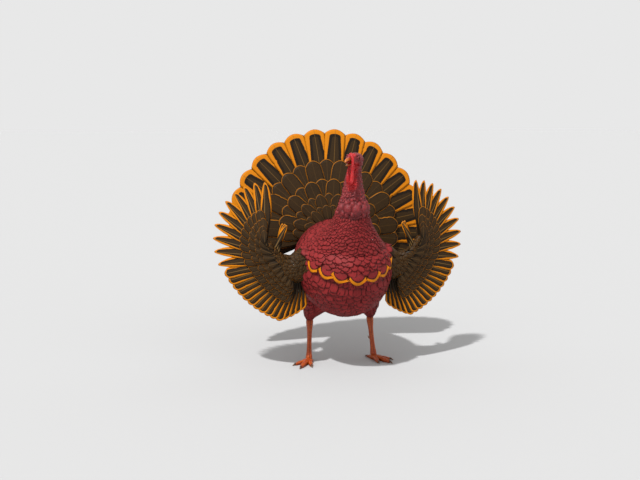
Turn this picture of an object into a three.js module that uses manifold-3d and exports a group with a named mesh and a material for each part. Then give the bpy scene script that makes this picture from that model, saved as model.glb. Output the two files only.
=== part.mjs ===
// A life-size domestic turkey: a tom that stands facing -Y, his tail fanned and both wings raised and
// spread. Millimetres, +Z up. The origin is on the floor under the middle of his bounding box, and his
// right side is -X.
// Each part is one closed mesh, and parts that touch keep GAP between them.
import * as THREE from "three";
import { mergeVertices } from "three/addons/utils/BufferGeometryUtils.js";
import Module from "manifold-3d";

const wasm = await Module();
wasm.setup();
const { Manifold, Mesh: SolidMesh } = wasm;

// Driving dimensions.
const GAP = 0.3; // clear space between touching parts
const BODY_HALF_WIDTH = 196;
const BODY_HALF_HEIGHT = 194;
const BODY_FRONT = -262; // breast, as a Y
const BODY_BACK = 292; // vent, as a Y
const BODY_MIDDLE_HEIGHT = 404;
const HEAD_HEIGHT = 842; // middle of the skull above the floor
const HEAD_TURN = 40; // degrees to his right
const HEAD_LIFT = 6; // degrees above level
const BILL_GAPE = 17; // degrees between the halves of the open bill
const EYE_RADIUS = 7.5;
const TAIL_LEAN = 12; // degrees behind upright
const TAIL_SPREAD = 206; // degrees from the first tail feather to the last
const TAIL_FEATHERS = 18;
const TAIL_FEATHER_LENGTH = 436;
const TAIL_FEATHER_WIDTH = 94;
const WRIST_OUT = 264; // wrist joint from the middle plane
const WRIST_HEIGHT = 442;
const PRIMARIES = 10;
const SECONDARIES = 11;
const STANCE = 138; // foot from the middle plane
const ANKLE_HEIGHT = 168;
const TOE_TURN_OUT = 32; // degrees

// Feather sections.
const VANE_BELOW = 0.4; // flat underside below the vane's own plane
const VANE_EDGE = 0.2; // top of the thin edge above that plane
const VANE_RIDGE = 1.0; // top of the shaft above that plane
const LAYER = 2; // step from one overlapping feather to the next
const CURL = 0.00022; // radians that a vane turns in each millimetre of its length

const UP = new THREE.Vector3(0, 0, 1);
const vec = (x, y, z) => new THREE.Vector3(x, y, z);
const radians = THREE.MathUtils.degToRad;
const lerp = THREE.MathUtils.lerp;

// --- Solids --------------------------------------------------------------------------------------

// A closed geometry as a manifold-3d solid.
function solid(geometry) {
  const bare = geometry.clone();
  for (const name of Object.keys(bare.attributes)) {
    if (name !== "position") bare.deleteAttribute(name);
  }
  const merged = mergeVertices(bare, 1e-4);
  return new Manifold(
    new SolidMesh({
      numProp: 3,
      vertProperties: new Float32Array(merged.attributes.position.array),
      triVerts: new Uint32Array(merged.index.array),
    }),
  );
}

const join = (pieces) => Manifold.union(pieces);

// The largest closed surface of a solid, without sealed hollows or loose scraps.
function largest(body) {
  const bodies = body.decompose();
  return bodies.reduce((best, next) => (next.volume() > best.volume() ? next : best));
}

// The half of space behind a plane: all that lies against its normal, as a big box.
function behindPlane(point, normal, reach = 3000) {
  const box = new THREE.BoxGeometry(reach, reach, reach);
  const turn = new THREE.Quaternion().setFromUnitVectors(UP, normal.clone().normalize());
  const middle = point.clone().addScaledVector(normal.clone().normalize(), -reach / 2);
  return solid(box.applyQuaternion(turn).translate(middle.x, middle.y, middle.z));
}

const floorBlock = behindPlane(vec(0, 0, 0), UP);

// A ball squashed to its three half sizes, turned and placed.
function ball(centre, halves, { turn = new THREE.Quaternion(), around = 12, along = 8 } = {}) {
  const sphere = new THREE.SphereGeometry(1, around, along);
  return solid(
    sphere.scale(...halves).applyQuaternion(turn).translate(centre.x, centre.y, centre.z),
  );
}

// Reads a list of [share, value, value, ...] rows at any share, with smooth steps between rows.
function profile(rows, share) {
  const last = rows.length - 1;
  let k = 0;
  while (k < last - 1 && share > rows[k + 1][0]) k += 1;
  const [from, to] = [rows[k], rows[k + 1]];
  const t = THREE.MathUtils.clamp((share - from[0]) / (to[0] - from[0]), 0, 1);
  return from.slice(1).map((value, n) => {
    const before = rows[Math.max(k - 1, 0)];
    const after = rows[Math.min(k + 2, last)];
    const slope = (a, b) => (b[n + 1] - a[n + 1]) / (b[0] - a[0] || 1);
    const into = slope(before, to) * (to[0] - from[0]);
    const out = slope(from, after) * (to[0] - from[0]);
    const [t2, t3] = [t * t, t * t * t];
    const here = value * (2 * t3 - 3 * t2 + 1) + into * (t3 - 2 * t2 + t);
    return Math.max(0, here + to[n + 1] * (3 * t2 - 2 * t3) + out * (t3 - t2));
  });
}

// A closed body round a smooth spine. rows holds [share, half width, half height above, half depth
// below], grow adds to every half size, relief adds its own lift by share and angle, and both ends are
// domed over the share of the spine that dome gives.
function limb({
  spine,
  rows,
  sides = 12,
  steps = 10,
  across = vec(1, 0, 0),
  dome = [0.06, 0.06],
  grow = 0,
  relief,
}) {
  const curve = new THREE.CatmullRomCurve3(spine);
  const positions = [];
  const index = [];
  const shares = [];
  for (let j = 0; j <= steps; j += 1) {
    shares.push(lerp(j / steps, (1 - Math.cos((Math.PI * j) / steps)) / 2, 0.6));
  }
  shares.forEach((share, j) => {
    const centre = curve.getPointAt(share);
    const tangent = curve.getTangentAt(share);
    const side = across.clone().addScaledVector(tangent, -across.dot(tangent)).normalize();
    const over = side.clone().cross(tangent).normalize();
    const domeIn = Math.min(share / dome[0], 1);
    const domeOut = Math.min((1 - share) / dome[1], 1);
    const cap = Math.sqrt(1 - (1 - domeIn) ** 2) * Math.sqrt(1 - (1 - domeOut) ** 2);
    const [width, above, below = above] = profile(rows, share);
    if (j === 0 || j === steps) {
      const end = centre.addScaledVector(tangent, (j === 0 ? -1 : 1) * grow);
      positions.push(end.x, end.y, end.z);
      return;
    }
    for (let k = 0; k < sides; k += 1) {
      const angle = (2 * Math.PI * k) / sides;
      const [c, s] = [Math.cos(angle), Math.sin(angle)];
      const lift = relief ? relief(share, angle) : 0;
      const point = centre
        .clone()
        .addScaledVector(side, c * (width * cap + grow + lift))
        .addScaledVector(over, s * ((s > 0 ? above : below) * cap + grow + lift));
      positions.push(point.x, point.y, point.z);
    }
  });
  const ring = (j, k) => 1 + (j - 1) * sides + (k % sides);
  const end = 1 + (steps - 1) * sides;
  for (let k = 0; k < sides; k += 1) {
    index.push(0, ring(1, k), ring(1, k + 1));
    index.push(end, ring(steps - 1, k + 1), ring(steps - 1, k));
    for (let j = 1; j < steps - 1; j += 1) {
      index.push(ring(j, k), ring(j + 1, k), ring(j + 1, k + 1));
      index.push(ring(j, k), ring(j + 1, k + 1), ring(j, k + 1));
    }
  }
  const geometry = new THREE.BufferGeometry();
  geometry.setAttribute("position", new THREE.Float32BufferAttribute(positions, 3));
  geometry.setIndex(index);
  const made = solid(geometry);
  return made.volume() < 0 ? solid(flipped(geometry)) : made;
}

// The same geometry with each face turned round.
function flipped(geometry) {
  const turned = geometry.clone();
  const order = Array.from(turned.index.array);
  for (let k = 0; k < order.length; k += 3) [order[k + 1], order[k + 2]] = [order[k + 2], order[k + 1]];
  turned.setIndex(order);
  return turned;
}

// --- Feathers ------------------------------------------------------------------------------------

// Outlines as [share of length, share of half width].
const TAIL_OUTLINE = [[0, 0.06], [0.24, 0.42], [0.6, 0.86], [0.88, 1], [0.97, 0.74], [1, 0.34]];
const PRIMARY_OUTLINE = [[0, 0.2], [0.25, 0.56], [0.55, 0.86], [0.84, 0.66], [1, 0.16]];
const SECONDARY_OUTLINE = [[0, 0.25], [0.45, 0.74], [0.88, 1], [1, 0.42]];
const COVERT_OUTLINE = [[0, 0.16], [0.5, 0.8], [0.86, 0.92], [1, 0.36]];
const SMALL_OUTLINE = [[0, 0.2], [0.72, 1], [1, 0.42]];

// One feather as a closed vane: flat below and ridged along its shaft. It leaves root along a direction,
// its ridge looks the way of face, and it curls away from face. lead is the share of its width on one
// side. Vanes that curl alike stay in layers that never cross. Without a shaft it is flat on top as well.
function vane({
  root,
  along,
  face,
  length,
  width,
  curl = CURL,
  outline = TAIL_OUTLINE,
  lead = 0.5,
  shaft = true,
}) {
  const out = along.clone().normalize();
  const front = face.clone().addScaledVector(out, -face.dot(out)).normalize();
  const side = out.clone().cross(front).normalize();
  const positions = [];
  const index = [];
  const round = shaft ? 5 : 4;
  for (const [share, wide] of outline) {
    const turn = curl * length * share;
    const run = Math.sin(turn) / curl;
    const drop = (1 - Math.cos(turn)) / curl;
    const here = root.clone().addScaledVector(out, run).addScaledVector(front, -drop);
    const normal = front.clone().multiplyScalar(Math.cos(turn)).addScaledVector(out, Math.sin(turn));
    const [left, right] = [-wide * width * (1 - lead), wide * width * lead];
    const ridge = shaft ? [[0, VANE_RIDGE]] : [];
    const [leftEdge, rightEdge] = [[left, VANE_EDGE], [right, VANE_EDGE]];
    const section = [[left, -VANE_BELOW], leftEdge, ...ridge, rightEdge, [right, -VANE_BELOW]];
    for (const [x, z] of section) {
      const point = here.clone().addScaledVector(side, x).addScaledVector(normal, z);
      positions.push(point.x, point.y, point.z);
    }
  }
  for (let j = 0; j + 1 < outline.length; j += 1) {
    for (let k = 0; k < round; k += 1) {
      const [a, b] = [j * round + k, j * round + ((k + 1) % round)];
      index.push(a, b, b + round, a, b + round, a + round);
    }
  }
  const tip = (outline.length - 1) * round;
  for (let k = 1; k + 1 < round; k += 1) {
    index.push(0, k + 1, k);
    index.push(tip, tip + k, tip + k + 1);
  }
  const geometry = new THREE.BufferGeometry();
  geometry.setAttribute("position", new THREE.Float32BufferAttribute(positions, 3));
  geometry.setIndex(index);
  const made = solid(geometry);
  return made.volume() < 0 ? solid(flipped(geometry)) : made;
}

// --- Torso and tail ------------------------------------------------------------------------------

// The whole trunk from breast to vent, before the tail is parted from it.
function trunk(grow = 0) {
  const [w, h] = [BODY_HALF_WIDTH, BODY_HALF_HEIGHT];
  const middle = BODY_MIDDLE_HEIGHT;
  return limb({
    spine: [
      vec(0, BODY_FRONT, middle + 14),
      vec(0, -170, middle + 8),
      vec(0, -40, middle),
      vec(0, 90, middle + 4),
      vec(0, 200, middle + 32),
      vec(0, BODY_BACK, middle + 58),
    ],
    rows: [
      [0, 0.5 * w, 0.44 * h, 0.54 * h],
      [0.12, 0.72 * w, 0.66 * h, 0.82 * h],
      [0.28, 0.93 * w, 0.86 * h, h],
      [0.45, w, 0.94 * h, h],
      [0.6, 0.97 * w, 0.94 * h, 0.93 * h],
      [0.75, 0.84 * w, 0.84 * h, 0.76 * h],
      [0.88, 0.62 * w, 0.64 * h, 0.54 * h],
      [1, 0.36 * w, 0.38 * h, 0.32 * h],
    ],
    sides: 24,
    steps: 14,
    dome: [0.16, 0.12],
    grow,
  });
}

const lean = radians(TAIL_LEAN);
const tailFrame = {
  root: vec(0, 216, 506),
  up: vec(0, Math.sin(lean), Math.cos(lean)),
  front: vec(0, -Math.cos(lean), Math.sin(lean)),
};
const TAIL_CUT = 16; // the torso ends this far before the plane of the tail's middle feathers

const tailCutPoint = tailFrame.root.clone().addScaledVector(tailFrame.front, TAIL_CUT);
const wholeTrunk = trunk();

// The torso with the feathered root of the neck, up to the plane where the bare neck begins. grow adds
// to its skin.
function makeTorso(grow = 0) {
  const tailCut = tailCutPoint.clone().addScaledVector(tailFrame.front, -grow);
  const behindTailCut = behindPlane(tailCut, tailFrame.front);
  const belowNeckCut = behindPlane(neckCutPoint.clone().addScaledVector(neckCutAxis, grow), neckCutAxis);
  const neckRoot = neckCore(grow).intersect(belowNeckCut);
  return largest(join([trunk(grow), neckRoot]).subtract(behindTailCut));
}

// The fans of the tail: eighteen big feathers, two tiers of coverts before them and one behind. lift
// raises a feather towards the front by its place in the fan.
const evenOdd = (from, step = LAYER) => (k) => from + step * (k % 2);
const TAIL_TIERS = [
  {
    count: TAIL_FEATHERS,
    spread: TAIL_SPREAD,
    length: TAIL_FEATHER_LENGTH,
    width: TAIL_FEATHER_WIDTH,
    lift: (k) => -LAYER * rankInFan(k),
    outline: TAIL_OUTLINE,
    shaft: true,
  },
  { count: 12, spread: 190, length: 300, width: 88, lift: evenOdd(2), outline: COVERT_OUTLINE },
  { count: 9, spread: 168, length: 206, width: 80, lift: evenOdd(6), outline: SMALL_OUTLINE },
  {
    count: 7,
    spread: 184,
    length: 222,
    width: 90,
    lift: evenOdd(-22, -LAYER),
    outline: SMALL_OUTLINE,
    face: -1,
  },
];
const FAN_START = 25; // how far from the middle of the fan its feathers begin
const OUTER_SHORTER = 0.06; // share of the length that the outermost feathers lack

// Steps back from the middle pair to the outermost feather, with the left side one step behind the right.
function rankInFan(k) {
  const half = TAIL_FEATHERS / 2;
  return k < half ? half - k : k - half;
}

// One fan of feathers in the plane of the tail.
function tailTier({ count, spread, length, width, lift, outline, face = 1, shaft = false }) {
  return Array.from({ length: count }, (_, k) => {
    const place = k / (count - 1) - 0.5;
    const angle = radians(spread) * place;
    const out = vec(Math.sin(angle), 0, 0).addScaledVector(tailFrame.up, Math.cos(angle));
    const shorter = 1 - OUTER_SHORTER * (2 * place) ** 2;
    return vane({
      root: tailFrame.root
        .clone()
        .addScaledVector(out, FAN_START)
        .addScaledVector(tailFrame.front, lift(k)),
      along: out,
      face: tailFrame.front.clone().multiplyScalar(face),
      length: length * shorter,
      width,
      curl: CURL * face,
      outline,
      shaft,
    });
  });
}

// The tail: its fleshy root and all its fans.
function makeTail() {
  const tailCut = tailCutPoint.clone().addScaledVector(tailFrame.front, -GAP);
  const base = wholeTrunk.intersect(behindPlane(tailCut, tailFrame.front));
  return largest(join([base, ...TAIL_TIERS.flatMap(tailTier)]));
}

// --- Neck and head -------------------------------------------------------------------------------

const headCentre = vec(0, -206, HEAD_HEIGHT);
const headTurn = new THREE.Quaternion()
  .setFromAxisAngle(UP, -radians(HEAD_TURN))
  .multiply(new THREE.Quaternion().setFromAxisAngle(vec(1, 0, 0), -radians(HEAD_LIFT)));

// A point of the head: how far forward, to his left and up from the middle of the skull.
function headPoint(forward, left, up) {
  return vec(left, -forward, up).applyQuaternion(headTurn).add(headCentre);
}
const headAcross = vec(1, 0, 0).applyQuaternion(headTurn);

const neckSpine = [
  vec(0, -88, 420),
  vec(0, -134, 520),
  vec(0, -168, 610),
  vec(0, -186, 700),
  vec(0, -188, 770),
  headPoint(-12, 0, -4),
];
const NECK_ROWS = [
  [0, 150, 130],
  [0.2, 138, 124],
  [0.36, 102, 98],
  [0.5, 70, 71],
  [0.65, 48, 51],
  [0.82, 33, 37],
  [0.92, 26, 30],
  [1, 22, 26],
];
const NECK_BARE_FROM = 0.5; // share of the neck's length where its bare skin begins

const neckCurve = new THREE.CatmullRomCurve3(neckSpine);
const neckCutPoint = neckCurve.getPointAt(NECK_BARE_FROM);
const neckCutAxis = neckCurve.getTangentAt(NECK_BARE_FROM);

// The neck from inside the breast to the skull, without its caruncles.
function neckCore(grow = 0) {
  return limb({ spine: neckSpine, rows: NECK_ROWS, sides: 16, steps: 13, dome: [0.2, 0.08], grow });
}

const torso = makeTorso();
const grownTorso = makeTorso(GAP);

// Caruncles: big bulbs low on the throat, and smaller ones scattered up the bare neck.
function caruncles() {
  const beads = [];
  const bead = (share, angle, radius, stretch = 1) => {
    const [width, depth] = profile(NECK_ROWS, share);
    const centre = neckCurve.getPointAt(share);
    centre.x += Math.sin(angle) * width * 0.93;
    centre.y -= Math.cos(angle) * depth * 0.93;
    const detail = radius > 12 ? { around: 7, along: 5 } : { around: 6, along: 4 };
    beads.push(ball(centre, [radius, radius, radius * stretch], detail));
  };
  const lowRow = 5;
  for (let k = 0; k < lowRow; k += 1) {
    const place = k / (lowRow - 1) - 0.5;
    bead(0.57 + 0.03 * Math.abs(place), 2.3 * place, 21 - 9 * Math.abs(place), 1.3);
  }
  const rows = [[0.67, 4, 12], [0.76, 4, 10], [0.85, 3, 8]];
  rows.forEach(([share, count, radius], row) => {
    for (let k = 0; k < count; k += 1) {
      bead(share, 0.35 * row + (2 * Math.PI * k) / count, radius, 1.15);
    }
  });
  return beads;
}

const SKULL_ROWS = [
  [0, 20, 17, 19],
  [0.2, 27, 25, 25],
  [0.45, 28, 26, 25],
  [0.7, 23, 20, 21],
  [0.88, 16, 14, 17],
  [1, 12, 10, 13],
];
// The skull from the nape to the root of the bill.
function skull(grow = 0) {
  return limb({
    spine: [headPoint(-42, 0, -2), headPoint(-10, 0, 2), headPoint(20, 0, 0), headPoint(46, 0, -5)],
    rows: SKULL_ROWS,
    sides: 14,
    steps: 9,
    across: headAcross,
    dome: [0.3, 0.14],
    grow,
  });
}

const EYE_PLACE = { forward: 15, left: 21.5, up: 6 };
const NOSTRIL_PLACE = { forward: 50, left: 8.2, up: 1 };
const EAR_PLACE = { forward: -17, left: 28, up: -2 };
const EAR_RADIUS = 5;

// The globe of an eye.
const eyeAt = (side, radius) =>
  ball(headPoint(EYE_PLACE.forward, side * EYE_PLACE.left, EYE_PLACE.up), [radius, radius, radius], {
    around: 10,
    along: 7,
  });

// A raised ring round an eye, lying in the side of the head.
function lidRing(place, side, radius, thick) {
  const ring = new THREE.TorusGeometry(radius, thick, 4, 10);
  const out = vec(1, 0, 0).applyQuaternion(headTurn).multiplyScalar(side);
  const turn = new THREE.Quaternion().setFromUnitVectors(UP, out);
  const centre = headPoint(place.forward, side * (place.left + 3.2), place.up);
  return solid(ring.applyQuaternion(turn).translate(centre.x, centre.y, centre.z));
}

// The head with its cheeks and lids, open where the eyes, the ears and the neck go in.
function makeHead(neckCutter) {
  const sides = [-1, 1];
  const pads = sides.map((side) =>
    ball(headPoint(-6, side * 21, -12), [9, 15, 12], { turn: headTurn, around: 8, along: 5 }),
  );
  const lids = sides.map((side) => lidRing(EYE_PLACE, side, 8.4, 2));
  const earCups = sides.map((side) =>
    ball(
      headPoint(EAR_PLACE.forward, side * EAR_PLACE.left, EAR_PLACE.up),
      [EAR_RADIUS, EAR_RADIUS, EAR_RADIUS],
      { around: 7, along: 5 },
    ),
  );
  const body = join([skull(), ...pads, ...lids]);
  const cuts = join([...sides.map((side) => eyeAt(side, EYE_RADIUS + GAP)), ...earCups, neckCutter]);
  return largest(body.subtract(cuts));
}

const BILL_ROOT = 30; // where the bill begins, forward of the middle of the skull

// Half of the bill, from inside the face to its tip. tilt is how steeply it drops and hook is how far
// its tip bends below that.
function billHalf({ length, halfWidth, above, below, tilt, lift, hook, grow = 0 }) {
  const slope = Math.tan(radians(tilt));
  const at = (share, sag) =>
    headPoint(BILL_ROOT + length * share, 0, lift - slope * length * share - sag);
  return limb({
    spine: [at(0, 0), at(0.35, 0), at(0.7, hook * 0.25), at(0.9, hook * 0.62), at(1, hook)],
    rows: [
      [0, halfWidth, above, below],
      [0.4, halfWidth * 0.86, above * 0.9, below * 0.9],
      [0.75, halfWidth * 0.56, above * 0.66, below * 0.6],
      [1, halfWidth * 0.16, above * 0.2, below * 0.2],
    ],
    sides: 12,
    steps: 8,
    across: headAcross,
    dome: [0.1, 0.1],
    grow,
  });
}

const UPPER_BILL = {
  length: 52,
  halfWidth: 12.5,
  above: 10.5,
  below: 3.6,
  tilt: 4,
  lift: -2,
  hook: 10,
};

// The upper half of the bill with its nostrils.
function makeUpperBill() {
  const bill = billHalf(UPPER_BILL);
  const { forward, left, up } = NOSTRIL_PLACE;
  const nostrils = [-1, 1].map((side) =>
    ball(headPoint(forward, side * left, up), [2.2, 4.2, 1.8], {
      turn: headTurn,
      around: 8,
      along: 6,
    }),
  );
  return largest(bill.subtract(join([skull(GAP), ...nostrils])));
}

const LOWER_BILL = {
  length: 42,
  halfWidth: 11,
  above: 2.2,
  below: 6,
  tilt: BILL_GAPE + 4,
  lift: -12,
  hook: -1,
};

function makeLowerBill() {
  const bill = billHalf(LOWER_BILL);
  return largest(bill.subtract(join([skull(GAP), billHalf({ ...UPPER_BILL, grow: GAP })])));
}

// The tongue, lying in the open bill.
function makeTongue(billSolids) {
  const tongue = limb({
    spine: [headPoint(38, 0, -9.5), headPoint(50, 0, -12.5), headPoint(61, 0, -15)],
    rows: [[0, 6, 3], [0.6, 5, 2], [1, 2, 1]],
    sides: 8,
    steps: 6,
    across: headAcross,
  });
  return largest(tongue.subtract(join([skull(GAP), ...billSolids])));
}

// The snood: it rises from the forehead and hangs over the bill on his left.
function makeSnood(cutters) {
  const snood = limb({
    spine: [
      headPoint(24, 0, 14),
      headPoint(38, 2, 17.5),
      headPoint(48, 9, 14.5),
      headPoint(53, 17, 2),
      headPoint(53, 19, -22),
      headPoint(51, 18, -50),
      headPoint(51, 17, -76),
      headPoint(52, 17, -94),
    ],
    rows: [[0, 8, 7], [0.15, 6.6, 6], [0.4, 5.2, 5.2], [0.7, 6, 6], [0.92, 6.8, 6.4], [1, 5, 5]],
    sides: 9,
    steps: 13,
    across: headAcross,
    relief: (share) => 0.5 * Math.sin(share * 60),
  });
  return largest(snood.subtract(join(cutters)));
}

// The dewlap: a soft flap that hangs from the throat in the middle plane of the head.
function makeWattle(cutters) {
  const flap = limb({
    spine: [
      headPoint(10, 0, -16),
      headPoint(22, -1, -40),
      headPoint(27, -2, -68),
      headPoint(27, -2, -98),
    ],
    rows: [[0, 11, 24], [0.3, 8, 26], [0.65, 9, 25], [0.88, 10, 19], [1, 7, 10]],
    sides: 10,
    steps: 8,
    across: headAcross,
    dome: [0.1, 0.16],
    relief: (share, angle) => 1.4 * Math.sin(angle * 3 + share * 5),
  });
  return largest(flap.subtract(join(cutters)));
}

// --- Wings ---------------------------------------------------------------------------------------

// The plane that a raised wing lies in. out points away from the body, up along the raised hand, and
// face forward.
function wingFrame(side) {
  const face = vec(0.22 * side, -0.95, 0.2).normalize();
  const out = vec(side, 0, 0).addScaledVector(face, -side * face.x).normalize();
  const up = UP.clone().addScaledVector(face, -face.z).addScaledVector(out, -out.z).normalize();
  return { face, out, up, wrist: vec(side * WRIST_OUT, -58, WRIST_HEIGHT) };
}

// A point of a wing, by its place outward, upward and forward of the wrist.
function wingPoint(frame, out, up, forward) {
  return frame.wrist
    .clone()
    .addScaledVector(frame.out, out)
    .addScaledVector(frame.up, up)
    .addScaledVector(frame.face, forward);
}

// A direction in the plane of a wing, by its angle from outward to upward.
function wingWay(frame, angle) {
  return frame.out
    .clone()
    .multiplyScalar(Math.cos(angle))
    .addScaledVector(frame.up, Math.sin(angle));
}

const PRIMARY_WIDTH = 52;
const SECONDARY_WIDTH = 46;
const ELBOW = { out: -52, up: -76 };
const HAND_TIP = { out: 58, up: 60 };

// Where flight feather k grows and which way it points. 0 is nearest the body, and the last one is at
// the tip of the wing.
function flightPlace(k) {
  const inner = k < SECONDARIES;
  const share = inner ? k / (SECONDARIES - 1) : (k - SECONDARIES) / (PRIMARIES - 1);
  const angle = inner ? lerp(-66, -10, share) : lerp(-3, 92, share);
  const out = inner ? lerp(ELBOW.out, -4, share) : lerp(4, HAND_TIP.out, share);
  const up = inner ? lerp(ELBOW.up, -6, share) : lerp(4, HAND_TIP.up, share);
  return { share, angle: radians(angle), out, up, forward: LAYER * (k - SECONDARIES), inner };
}

// How long flight feather k is.
function flightLength(k) {
  const { share, inner } = flightPlace(k);
  return inner ? lerp(172, 224, share) : 228 + 36 * Math.sin(Math.PI * lerp(0.08, 0.86, share));
}

const FEATHER_START = 8; // how far from the bone a flight feather begins

// A feather of a wing that grows where flight feather k does, moved forward by lift.
function wingFeather(frame, k, { length, width, lift = 0, face = 1, ...shape }) {
  const place = flightPlace(k);
  const along = wingWay(frame, place.angle);
  return vane({
    root: wingPoint(frame, place.out, place.up, place.forward + lift).addScaledVector(
      along,
      FEATHER_START,
    ),
    along,
    face: frame.face.clone().multiplyScalar(face),
    length,
    width,
    curl: CURL * face,
    ...shape,
  });
}

const COVERT_TIERS = [
  { every: 2, length: 0.52, width: 50, lift: 6, face: 1, outline: COVERT_OUTLINE },
  { every: 4, length: 0.36, width: 66, lift: 11, face: 1, outline: SMALL_OUTLINE },
  { every: 2, length: 0.48, width: 52, lift: -6, face: -1, outline: SMALL_OUTLINE },
];

// The coverts of one stretch of the wing, in tiers before and behind the flight feathers.
function coverts(frame, from, to) {
  return COVERT_TIERS.flatMap(({ every, length, ...shape }) => {
    const tier = [];
    for (let k = from; k < to; k += every) {
      tier.push(wingFeather(frame, k, { length: flightLength(k) * length, shaft: false, ...shape }));
    }
    return tier;
  });
}

// The way along the hand, square to the cut at the wrist.
function handAxis(frame) {
  return frame.out.clone().multiplyScalar(0.62).addScaledVector(frame.up, 0.78);
}

// The flesh of the hand from the wrist to the wing's tip.
function handFlesh(frame, grow = 0) {
  const flesh = limb({
    spine: [
      wingPoint(frame, -8, -10, -2),
      wingPoint(frame, 30, 38, 8),
      wingPoint(frame, 66, 88, 18),
    ],
    rows: [[0, 24, 21], [0.5, 20, 19], [1, 13, 16]],
    sides: 8,
    steps: 5,
    across: frame.out,
    dome: [0.1, 0.18],
    grow,
  });
  const wristCut = wingPoint(frame, 0, 0, 0).addScaledVector(handAxis(frame), -grow);
  return flesh.subtract(behindPlane(wristCut, handAxis(frame)));
}

// The flesh of the arm: the upper arm, the elbow and the web of skin between shoulder and wrist.
function armFlesh(frame, grow = 0) {
  const flesh = limb({
    spine: [
      wingPoint(frame, -128, 16, 12),
      wingPoint(frame, -92, -18, -10),
      wingPoint(frame, -52, -34, -18),
      wingPoint(frame, -26, -18, -12),
      wingPoint(frame, 8, 10, 0),
    ],
    rows: [
      [0, 58, 40],
      [0.3, 62, 38],
      [0.56, 58, 32],
      [0.75, 43, 26],
      [0.9, 29, 21],
      [1, 25, 20],
    ],
    sides: 12,
    steps: 9,
    across: frame.up,
    dome: [0.1, 0.08],
    grow,
  });
  const wristCut = wingPoint(frame, 0, 0, 0).addScaledVector(handAxis(frame), grow - GAP);
  return flesh.intersect(behindPlane(wristCut, handAxis(frame)));
}

const THUMB_TURNS = [100, 110, 120]; // degrees from outward to upward, one for each feather

// The hand of a wing with its primaries, thumb and coverts.
function makeHand(side) {
  const frame = wingFrame(side);
  const primaries = Array.from({ length: PRIMARIES }, (_, n) =>
    wingFeather(frame, SECONDARIES + n, {
      length: flightLength(SECONDARIES + n),
      width: PRIMARY_WIDTH,
      outline: PRIMARY_OUTLINE,
      lead: side > 0 ? 0.36 : 0.64,
    }),
  );
  const thumb = THUMB_TURNS.map((degrees, n) => {
    const angle = radians(degrees);
    return vane({
      root: wingPoint(frame, 6 + 7 * n, 24 + 10 * n, 14 + 3 * n),
      along: wingWay(frame, angle),
      face: frame.face,
      length: 122 - 8 * n,
      width: 28,
      outline: SMALL_OUTLINE,
    });
  });
  const handCoverts = coverts(frame, SECONDARIES, SECONDARIES + PRIMARIES);
  const feathers = [...primaries, ...thumb, ...handCoverts];
  return largest(join([handFlesh(frame), ...feathers]).subtract(armFlesh(frame, GAP)));
}

const TERTIALS = 3;

// Feathers that hang from the elbow and the upper arm and close the wing towards the body.
function tertials(frame) {
  return Array.from({ length: TERTIALS }, (_, n) => {
    const back = LAYER * (SECONDARIES + 1 + n);
    return vane({
      root: wingPoint(frame, ELBOW.out - 5 - 6 * n, ELBOW.up + 2 + 3 * n, -back),
      along: wingWay(frame, radians(-71 - 6 * n)),
      face: frame.face,
      length: 172 - 11 * n,
      width: 50,
      outline: SECONDARY_OUTLINE,
    });
  });
}

// The arm of a wing with its secondaries, tertials and coverts.
function makeArm(side) {
  const frame = wingFrame(side);
  const secondaries = Array.from({ length: SECONDARIES }, (_, k) =>
    wingFeather(frame, k, {
      length: flightLength(k),
      width: SECONDARY_WIDTH,
      outline: SECONDARY_OUTLINE,
    }),
  );
  const feathers = [...secondaries, ...tertials(frame), ...coverts(frame, 0, SECONDARIES)];
  const pieces = join([armFlesh(frame), ...feathers]);
  return largest(pieces.subtract(grownTorso).subtract(handFlesh(frame, GAP)));
}

// --- Legs ----------------------------------------------------------------------------------------

const footCentre = (side) => vec(side * STANCE, -2, 15);
const ankle = (side) => vec(side * (STANCE - 10), 30, ANKLE_HEIGHT);
const SHANK_TOP = 12; // how far above the ankle the bare shank reaches, inside the thigh's cuff
const SCUTES = 8;

// The feathered leg from inside the body to its cuff at the ankle.
function makeThigh(side) {
  const joint = ankle(side);
  const leg = limb({
    spine: [
      vec(side * 84, 14, 330),
      vec(side * 104, 6, 264),
      joint.clone().add(vec(0, -4, 26)),
      joint,
    ],
    rows: [[0, 70, 86], [0.35, 62, 74], [0.7, 36, 42], [0.9, 21, 23], [1, 17, 18]],
    sides: 12,
    steps: 8,
    dome: [0.12, 0.1],
  });
  return largest(leg.subtract(grownTorso));
}

// The shank, with a row of broad scutes raised down its front.
function makeShank(side, thigh) {
  const [top, foot] = [ankle(side), footCentre(side)];
  const shank = limb({
    spine: [
      top.clone().add(vec(0, 0, SHANK_TOP)),
      top.clone().lerp(foot, 0.3),
      top.clone().lerp(foot, 0.7),
      foot.clone().add(vec(0, 1, -2)),
    ],
    rows: [
      [0, 13, 13],
      [0.1, 14, 15],
      [0.35, 9.5, 11],
      [0.75, 9.5, 11],
      [0.95, 13, 14],
      [1, 12, 13],
    ],
    sides: 8,
    steps: 2 * SCUTES + 2,
    relief: (share, angle) => {
      const inFront = Math.sin(angle) < -0.3;
      return inFront ? 0.9 * Math.sin(share * SCUTES * 2 * Math.PI) : 0;
    },
  });
  return largest(shank.subtract(thigh).subtract(floorBlock));
}

// Each toe by its turn from straight ahead, its length, half its thickness and the height where it
// leaves the foot.
const TOES = [
  { name: "inner", turn: -30, length: 66, half: 8.4, rise: 13 },
  { name: "middle", turn: 0, length: 92, half: 9, rise: 14 },
  { name: "outer", turn: 32, length: 70, half: 8, rise: 13 },
  { name: "hind", turn: 176, length: 40, half: 6.4, rise: 17 },
];
const CLAW_LENGTH = 17;

// The direction of a toe on the floor. Positive turns point outward.
function toeDirection(side, toe) {
  const turn = side * radians(TOE_TURN_OUT + toe.turn);
  return vec(Math.sin(turn), -Math.cos(turn), 0);
}

const KNUCKLES = 3;
const TOE_STEP = 10;

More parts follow.
